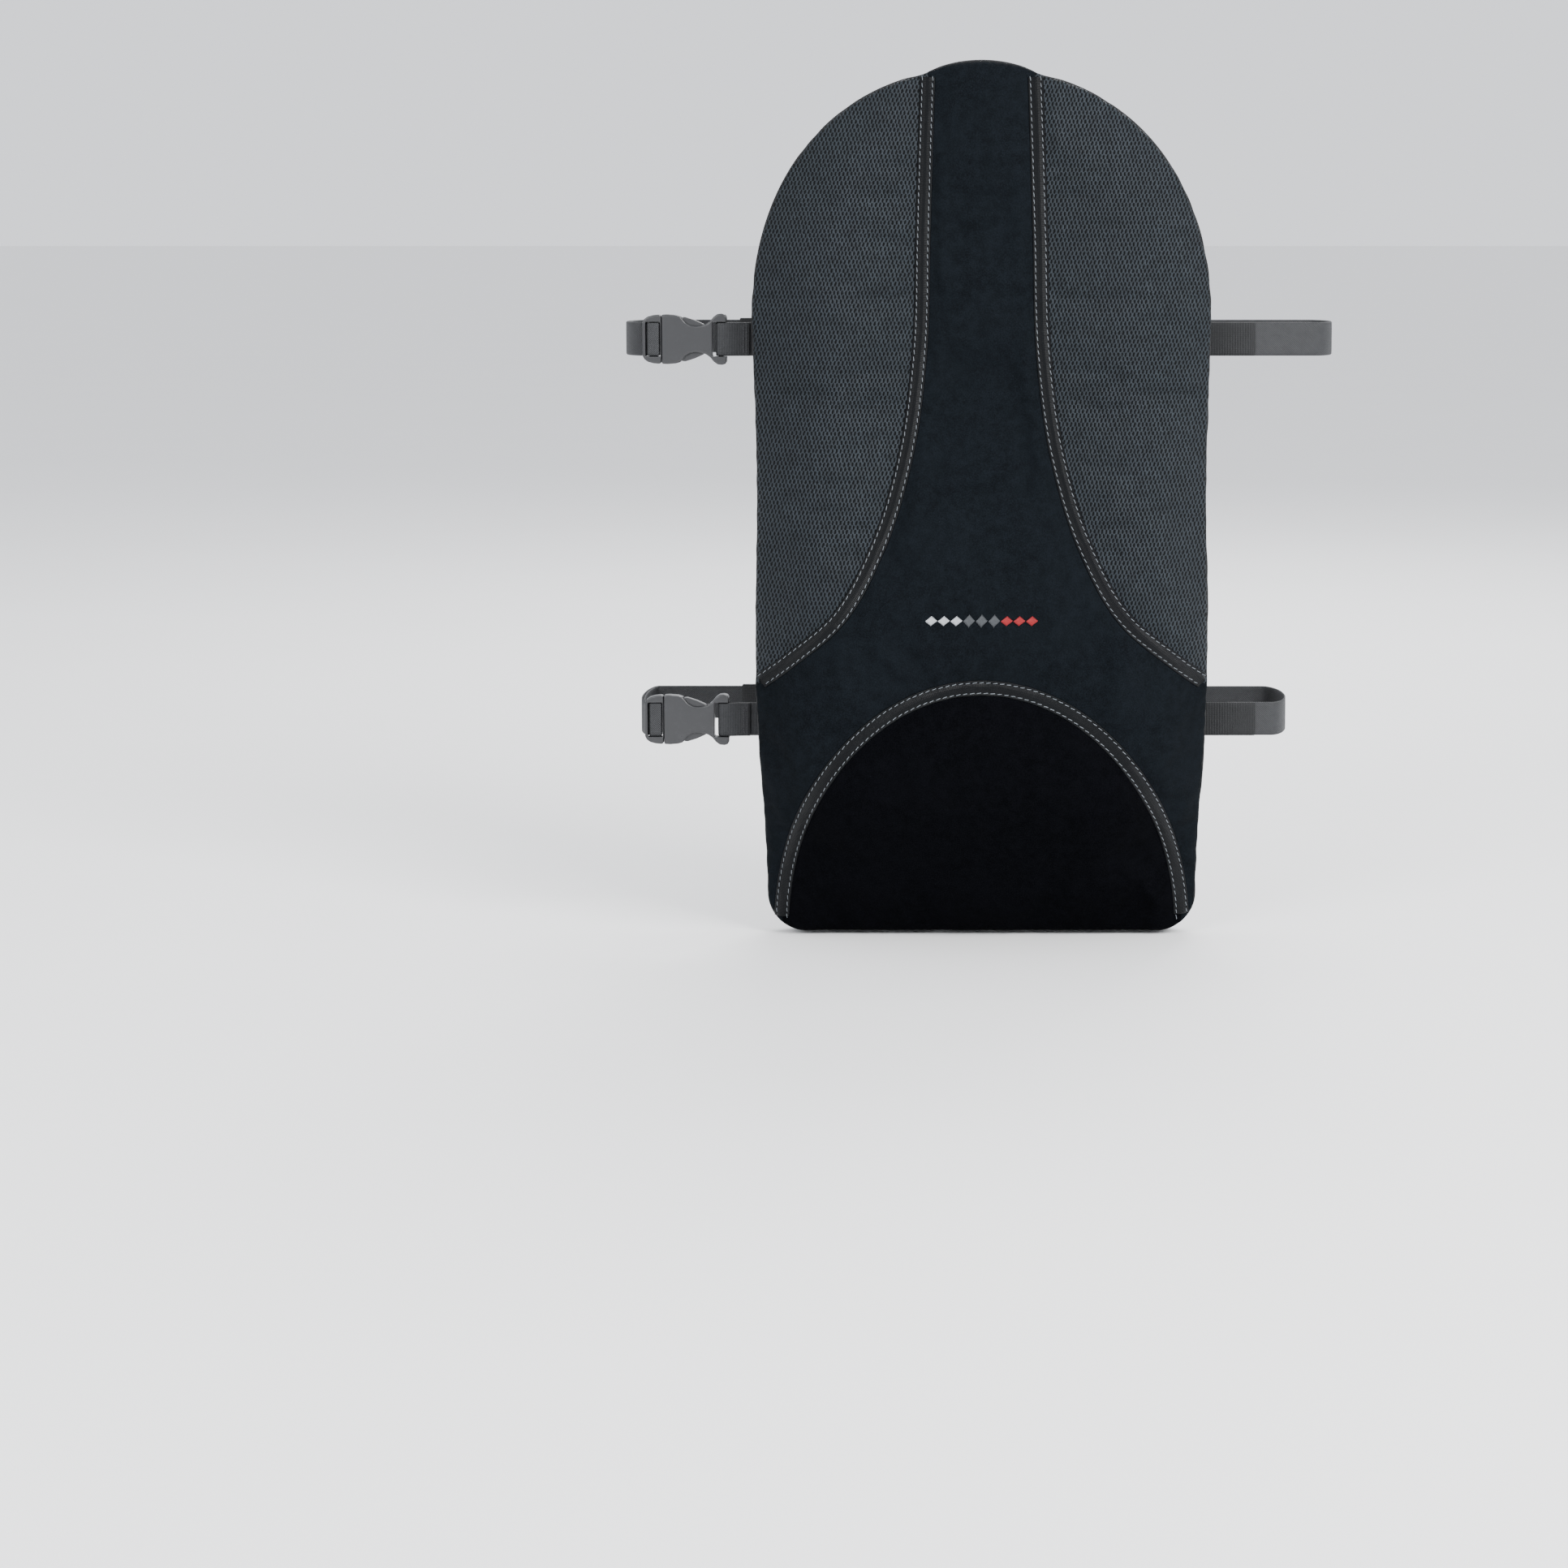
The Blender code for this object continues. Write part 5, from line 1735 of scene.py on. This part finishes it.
@dataclass
class Zip:
    """The zip across the rear: two tapes, a guard behind them, a nylon coil and the frame's metal parts."""

    half: float = 118.0
    chain_half: float = 2.7
    tape: Strip = Strip(12.65, 1.0, 9)
    tape_y: float = -2.9
    tape_past: float = 3.8
    guard: Strip = Strip(29.0, 0.5, 9)
    guard_y: float = -4.6
    guard_past: float = 7.0
    coil_pitch: float = 1.7
    coil_y: float = -2.3
    coil_short: float = 5.5
    wire: float = 0.36
    stitches: int = 78
    stitch_pitch: float = 3.05
    stitch_length: float = 2.2
    stitch_from_middle: float = 8.4

    def build(self) -> None:
        """Makes the tapes, the guard, the coil and the stitches beside the slot."""
        self.build_strip("zip_guard", self.guard, self.half + self.guard_past, self.guard_y, 0.0)
        for name, side in (("lower", -1.0), ("upper", 1.0)):
            node = f"zip_tape_{name}"
            aside = side * (self.chain_half + GAP + 0.5 * self.tape.width)
            reach = self.half + self.tape_past
            self.build_strip(f"{node}_cloth", self.tape, reach, self.tape_y, aside, (node,))
        self.build_coil()
        self.build_stitches()
        for node in ("zip_slider", "zip_pull", "zip_stop_left", "zip_stop_right"):
            dress_node(node, ZIP_METAL)

    def build_strip(
        self, name: str, cut: Strip, reach: float, y: float, aside: float, replaced: Sequence[str] = ()
    ) -> None:
        """Makes one flat strip along the zip.

        Args:
            name: The piece's name.
            cut: Its width and thickness.
            reach: Half its length.
            y: Its level.
            aside: How far it lies above the zip's middle.
            replaced: CAD nodes that it stands for.
        """
        points, faces, lay = cut.along(evenly(np.array([(-reach, y), (reach, y)]), 6.0))
        points[:, 2] += ZIP_Z + aside
        parts = Parts()
        parts.add(points, faces, lay)
        outward(make_piece(name, parts, ZIP_TAPE, replaced))

    def build_coil(self) -> None:
        """Makes the two nylon coils of the chain."""
        coil = Parts()
        reach = self.half - self.coil_short
        turns = 2.0 * reach / self.coil_pitch
        for side in (-1.0, 1.0):
            turn = np.linspace(0.0, 2.0 * math.pi * turns, int(turns * 12)) + (math.pi if side > 0 else 0.0)
            x = np.linspace(-reach, reach, len(turn))
            y = self.coil_y + 0.9 * np.sin(turn)
            z = ZIP_Z + side * 1.0 + 1.3 * np.cos(turn)
            coil.add(*tube(np.column_stack([x, y, z]), np.full(len(turn), self.wire), 5))
        outward(make_piece("zip_chain_coil", coil, ZIP_COIL, ("zip_chain",)))

    def build_stitches(self) -> None:
        """Makes the row of stitches on each side of the slot."""
        rows = Parts()
        for side in (-1.0, 1.0):
            z = ZIP_Z + side * self.stitch_from_middle
            for k in range(self.stitches):
                x = -self.half + self.stitch_pitch * k
                pair = np.array([(x, 0.15, z), (x + self.stitch_length, 0.15, z)])
                rows.add(*stitch(pair, np.array([0.0, 1.0, 0.0]), 0.3, 0.4, x))
        outward(make_piece("zip_slot_stitches", rows, DARK_THREAD))


def dress_node(node: str, finish: Finish) -> None:
    """Gives a CAD node that stays its finish.

    Args:
        node: The node's name.
        finish: What it gets.
    """
    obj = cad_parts[node]
    if not obj.material_slots:
        obj.data.materials.append(None)
    for slot in obj.material_slots:
        slot.material = finish.material()
    log.info("%s: %s", node, finish.name)


# ---- belts ---------------------------------------------------------------------------------------


@dataclass
class Belt:
    """One belt: tab, elastic, strap, keeper, their sewing and the buckle."""

    name: str
    buckle_x: float
    left: float
    right: float
    bend: float
    body: Body
    plan: Plan
    web: Strip = Strip(25.0, 1.4, 11)
    anchor_x: float = 120.0
    lap: tuple[float, float] = (184.0, 204.0)
    loop_rear: float = 62.0
    right_bend: float = 14.0
    join_x: float = -130.0
    tail_end_x: float = -150.0
    tail_step: float = 1.8
    bar: float = 4.7
    bar_set: float = 0.9
    bar_roll: float = 3.05
    load_step: float = 4.6
    over_step: float = 2.6
    lock_bend: float = 1.1
    layer_gap: float = 0.4
    slots: tuple[float, float] = (50.9, 59.1)
    keeper_x: float = -176.0
    keeper_length: float = 18.0

    def __post_init__(self) -> None:
        """Works out the levels that the belt runs at."""
        self.height = BELT_Z[self.name]
        self.deep = float(self.plan.rear(np.array([[0.0, self.height]]))[0])
        self.skin = 0.5 * self.web.thickness + GAP
        self.bar_y = self.skin - self.bar_set
        self.load_y = self.bar_y + self.load_step
        self.tail_y = self.load_y - self.tail_step
        self.lap_y = self.skin + self.web.thickness + self.layer_gap
        self.fold_y = self.skin - self.web.thickness - self.layer_gap
        self.far = self.loop_rear - self.deep

    def placed(self, points: Points) -> Points:
        """Moves points from the belt's own level to the cushion's."""
        return points + (0.0, self.deep, self.height)

    def make_strip(
        self, label: str, path: Points, finish: Finish, step: float = 3.0, ride: bool = True
    ) -> bpy.types.Object:
        """Makes one length of webbing.

        Args:
            label: The CAD node it stands for, without the belt's name.
            path: Its middle line in X and Y.
            finish: Its finish.
            step: The longest run to leave whole.
            ride: Whether it rides on the cushion already now.

        Returns:
            The piece.
        """
        steps = np.linalg.norm(np.diff(path, axis=0), axis=1)
        path = path[np.concatenate([[True], steps > 0.02])]
        points, faces, lay = self.web.along(finer(path, step))
        parts = Parts()
        parts.add(self.placed(points), faces, lay)
        node = f"{self.name}_{label}"
        return outward(make_piece(f"{node}_webbing", parts, finish, (node,), ride=ride))

    def build(self) -> None:
        """Makes every soft piece of the belt and dresses its buckle."""
        self.build_tab()
        self.build_strap_run()
        self.build_strap_end()
        self.build_keeper()
        self.build_sewing()
        Buckle(self.name, self.deep + self.bar_y, self.body).build()

    def build_tab(self) -> None:
        """The tab through the buckle's bar, and the elastic on the other side."""
        bar_x = self.buckle_x - self.bar
        roll = self.bar_roll
        tab = np.vstack(
            [
                [(-self.anchor_x, self.skin), (-176.0, self.skin)],
                [(bar_x + 3.5, self.bar_y + roll)],
                arc((bar_x, self.bar_y), (roll, roll), 90.0, 270.0, 21),
                [(bar_x + 3.5, self.bar_y - roll), (-177.5, self.fold_y), (-173.0, self.fold_y)],
            ]
        )
        self.make_strip("buckle_tab", tab, TAB_WEBBING)
        elastic = np.array([(self.anchor_x, self.skin), (150.0, self.skin), (self.lap[1], self.skin)])
        self.make_strip("elastic", elastic, ELASTIC)

    def build_strap_run(self) -> None:
        """The strap from the lap seam round the right and across behind."""
        middle = 0.5 * (self.lap_y + self.far)
        centre = (self.right - self.right_bend, middle)
        wrap = arc(centre, (self.right_bend, self.far - middle), -90.0, 90.0, 41)
        lap = [(self.lap[0], self.lap_y), (self.lap[1], self.lap_y)]
        run = np.vstack([lap, wrap, [(60.0, self.far), (self.join_x, self.far)]])
        self.make_strip("strap_run", run, WEBBING, 6.0)

    def build_strap_end(self) -> None:
        """The strap round the left, through the ladder lock, and its tail."""
        up_x, down_x = (self.buckle_x - slot for slot in self.slots)
        over_y = self.bar_y - self.over_step
        bend_x = self.left + self.bend + self.tail_step
        middle = 0.5 * (self.load_y + self.far)
        wrap = arc((bend_x, middle), (self.bend, self.far - middle), 90.0, 270.0, 41)
        lock = rounded(
            [
                wrap[-1],
                (up_x, self.load_y),
                (up_x, over_y),
                (down_x, over_y),
                (down_x, self.tail_y),
                (bend_x, self.tail_y),
            ],
            self.lock_bend,
        )
        outer = self.far + self.tail_step
        middle = 0.5 * (self.tail_y + outer)
        tail = arc((bend_x, middle), (self.bend + self.tail_step, outer - middle), 270.0, 90.0, 41)
        path = np.vstack(
            [[(self.join_x - GAP, self.far)], wrap[:-1], lock[:-1], tail, [(self.tail_end_x, outer)]]
        )
        piece = self.make_strip("strap_end", path, WEBBING, 5.0, ride=False)
        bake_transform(piece)

    def build_keeper(self) -> None:
        """The elastic loop round both layers of webbing."""
        clear = 0.5 * self.web.thickness + GAP + 0.5
        low, high = self.far - clear, self.far + self.tail_step + clear
        half = 0.5 * self.web.width + GAP + 0.5
        middle = 0.5 * (low + high)
        corners = [(middle, half), (low, half), (low, -half), (high, -half), (high, half), (middle, half)]
        loop = finer(rounded(corners, 1.0, 6), 2.0)
        points, faces, lay = Strip(self.keeper_length, 1.0, 9).along(loop[:-1], closed=True)
        turned = np.column_stack([self.keeper_x + points[:, 2], points[:, 0], points[:, 1]])
        parts = Parts()
        parts.add(self.placed(turned), faces, lay)
        node = f"{self.name}_keeper"
        outward(make_piece(f"{node}_loop", parts, ELASTIC, (node,)))

    def build_sewing(self) -> None:
        """Box and cross stitching at both anchors, and the lap seam's tacks."""
        rows = Parts()
        half = 0.5 * self.web.width - 2.5
        top = self.skin + 0.5 * self.web.thickness
        for side in (-1.0, 1.0):
            near, far = side * (self.anchor_x + 3.0), side * (self.anchor_x + 24.0)
            box = [(near, -half), (far, -half), (far, half), (near, half), (near, -half)]
            for line in (box, [(near, -half), (far, half)], [(near, half), (far, -half)]):
                self.sew(rows, line, top, 2.6)
        lap_top = self.lap_y + 0.5 * self.web.thickness
        for x in (self.lap[0] + 3.0, self.lap[0] + 6.5, self.lap[1] - 6.5, self.lap[1] - 3.0):
            self.sew(rows, [(x, -half - 0.5), (x, half + 0.5)], lap_top, 2.2)
        fold_top = self.fold_y - 0.5 * self.web.thickness
        for x in (-175.2, -177.6):
            self.sew(rows, [(x, -half), (x, half)], fold_top, 1.9, -1.0)
        outward(make_piece(f"{self.name}_belt_stitches", rows, DARK_THREAD))

    def sew(
        self, rows: Parts, line: Sequence[tuple[float, float]], level: float, pitch: float, side: float = 1.0
    ) -> None:
        """Sews a row of stitches on the webbing.

        Args:
            rows: Where they are gathered.
            line: The row's corners in X and Z.
            level: Y of the webbing's face.
            pitch: The length from stitch to stitch.
            side: 1 on the rear face, -1 on the front face.
        """
        path = finer(np.array(line, float), pitch)
        for start, end in zip(path, path[1:]):
            reach = start + 0.78 * (end - start)
            pair = np.array([(start[0], level, start[1]), (reach[0], level, reach[1])])
            rows.add(*stitch(self.placed(pair), np.array([0.0, side, 0.0]), 0.36, 0.5, start[0]))


@dataclass
class Buckle:
    """The moulded halves and spring prongs of one buckle, with soft edges and a crowned face."""

    belt: str
    middle_y: float
    male: Body
    grain: float = 0.42
    softening: int = 7
    crown: float = 0.09
    half_height: float = 19.2

    def build(self) -> None:
        """Makes both halves and both prongs."""
        bodies = {
            "buckle_female": Body.CUSHION.value,
            "buckle_male": self.male.value,
            "prong_top": f"{self.belt}_top_prong",
            "prong_bottom": f"{self.belt}_bottom_prong",
        }
        for label, body in bodies.items():
            self.mould(f"{self.belt}_{label}", body)

    def mould(self, node: str, body: str) -> None:
        """Moulds one piece from its CAD shape.

        Args:
            node: The CAD node it stands for.
            body: The body it rides on.
        """
        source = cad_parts[node]
        blank = bpy.data.objects.new(f"{node}_blank", source.data.copy())
        bpy.context.scene.collection.objects.link(blank)
        skin = blank.modifiers.new("even skin", "REMESH")
        skin.mode = "VOXEL"
        skin.voxel_size = self.grain * MM
        edges = blank.modifiers.new("moulded edges", "SMOOTH")
        edges.factor = 0.5
        edges.iterations = self.softening
        moulded = blank.evaluated_get(bpy.context.evaluated_depsgraph_get()).to_mesh()
        points = np.empty(3 * len(moulded.vertices))
        moulded.vertices.foreach_get("co", points)
        points = points.reshape(-1, 3) / MM + (0.0, 0.0, ORIGIN_Z)
        faces = [tuple(polygon.vertices) for polygon in moulded.polygons]
        bpy.data.objects.remove(blank, do_unlink=True)
        middle_z = 0.5 * (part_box(node)[0][2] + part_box(node)[1][2]) / MM + ORIGIN_Z
        if "prong" not in node:
            share = 1.0 - np.clip((points[:, 2] - middle_z) / self.half_height, -1.0, 1.0) ** 2
            points[:, 1] += self.crown * share * (points[:, 1] - self.middle_y)
        parts = Parts()
        parts.add(points, faces)
        make_piece(f"{node}_moulded", parts, BUCKLE, (node,), body)


@dataclass
class RearSeam:
    """The row of stitches round the rear panels, just inside the rim seam."""

    plan: Plan
    inset: float = 5.0
    pitch: float = 4.0
    length: float = 2.9
    thread: float = 0.32
    fine: float = 0.5

    def build(self) -> None:
        """Sews the row on the rear panels."""
        loop = evenly(self.plan.outline, 1.0, closed=True)
        along = directions(loop, closed=True)
        inward = np.column_stack([-along[:, 1], along[:, 0]])
        line = evenly(loop + self.inset * inward, self.fine, closed=True)
        step, reach = round(self.pitch / self.fine), round(self.length / self.fine)
        level = self.plan.rear(line) + GAP
        points = np.column_stack([line[:, 0], level, line[:, 1]])
        rows = Parts()
        for first in range(0, len(line) - reach, step):
            pair = points[[first, first + reach]]
            rows.add(*stitch(pair, np.array([0.0, 1.0, 0.0]), self.thread, 0.5, self.fine * first))
        outward(make_piece("rear_seam_stitches", rows, DARK_THREAD))


@dataclass
class Inside:
    """The shell and the foams inside the cover."""

    softened: float = 3.0

    def build(self) -> None:
        """Dresses the shell and makes softened foams in place of the CAD ones."""
        dress_node("support_frame", SHELL)
        for node, finish, slot in (("comfort_foam", FOAM, "foam"), ("lumbar_foam", PAD_FOAM, "pad_foam")):
            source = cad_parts[node]
            foam = bpy.data.objects.new(f"{node}_block", source.data.copy())
            bpy.context.scene.collection.objects.link(foam)
            foam.data.materials.clear()
            foam.data.materials.append(finish.material())
            edge = foam.modifiers.new("cut edge", "BEVEL")
            edge.width = self.softened * MM
            edge.segments = 3
            edge.limit_method = "ANGLE"
            edge.angle_limit = math.radians(50.0)
            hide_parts(node)
            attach(foam, Body.CUSHION.value)
            log.info("%s: softened foam", node)


# ---- studio --------------------------------------------------------------------------------------


@dataclass(frozen=True)
class SoftBox:
    """One large soft light."""

    name: str
    place: tuple[float, float, float]
    size: float
    power: float


@dataclass
class Studio:
    """Pale floor, soft light and the camera."""

    floor_z: float = -0.512
    floor_half: float = 60.0
    daylight: Colour = (0.93, 0.95, 1.0)
    aim: tuple[float, float, float] = (0.0, -0.035, -0.185)
    range: float = 2.4
    elevation: float = 5.0
    lens: float = 74.5
    shift: tuple[float, float] = (-0.126, -0.180)
    ambient: float = 1.4
    boxes: tuple[SoftBox, ...] = (
        SoftBox("key", (1.7, -1.9, 1.4), 1.4, 140.0),
        SoftBox("fill", (-1.5, -2.3, 1.2), 1.3, 55.0),
        SoftBox("rear", (0.4, 2.0, 1.8), 1.6, 80.0),
    )

    def build(self) -> None:
        """Makes the floor, the lights and the camera."""
        self.build_floor()
        self.build_light()
        self.build_camera()

    def build_floor(self) -> None:
        """The wide pale floor."""
        mesh = bpy.data.meshes.new("studio_floor")
        side = self.floor_half
        corners = [(-side, -side), (side, -side), (side, side), (-side, side)]
        mesh.from_pydata([(x, y, self.floor_z) for x, y in corners], [], [(0, 1, 2, 3)])
        mesh.materials.append(FLOOR.material())
        floor = bpy.data.objects.new("studio_floor", mesh)
        bpy.context.scene.collection.objects.link(floor)

    def build_light(self) -> None:
        """The soft boxes and the even light of the room."""
        world = bpy.data.worlds.new("studio")
        world.use_nodes = True
        background = world.node_tree.nodes["Background"]
        background.inputs["Color"].default_value = (*self.daylight, 1.0)
        background.inputs["Strength"].default_value = self.ambient
        bpy.context.scene.world = world
        for box in self.boxes:
            light = bpy.data.lights.new(box.name, "AREA")
            light.energy = box.power
            light.size = box.size
            obj = bpy.data.objects.new(box.name, light)
            obj.location = box.place
            obj.rotation_euler = (Vector(self.aim) - Vector(box.place)).to_track_quat("-Z", "Y").to_euler()
            bpy.context.scene.collection.objects.link(obj)

    def build_camera(self) -> None:
        """The camera, a little above the cushion and square to it."""
        camera = bpy.data.cameras.new("camera")
        camera.lens = self.lens
        camera.shift_x, camera.shift_y = self.shift
        rise = math.radians(self.elevation)
        aim = Vector(self.aim)
        obj = bpy.data.objects.new("camera", camera)
        obj.location = aim + self.range * Vector((0.0, -math.cos(rise), math.sin(rise)))
        obj.rotation_euler = (aim - obj.location).to_track_quat("-Z", "Y").to_euler()
        bpy.context.scene.collection.objects.link(obj)
        bpy.context.scene.camera = obj


def main() -> None:
    """Builds the cushion and its studio."""
    logging.basicConfig(level=logging.INFO, format="%(name)s: %(message)s", stream=sys.stdout)
    plan = Plan()
    Studio().build()
    surface = Surface(Cover(plan).build())
    TrimBands(plan, surface).build()
    Motif(surface).build()
    RearSeam(plan).build()
    Zip().build()
    Inside().build()
    Belt("upper", -190.0, -268.0, 264.0, 14.0, Body.UPPER_MALE, plan).build()
    Belt("lower", -188.5, -257.0, 230.0, 6.0, Body.LOWER_MALE, plan).build()
    bpy.context.view_layer.update()


if __name__ == "__main__":
    main()
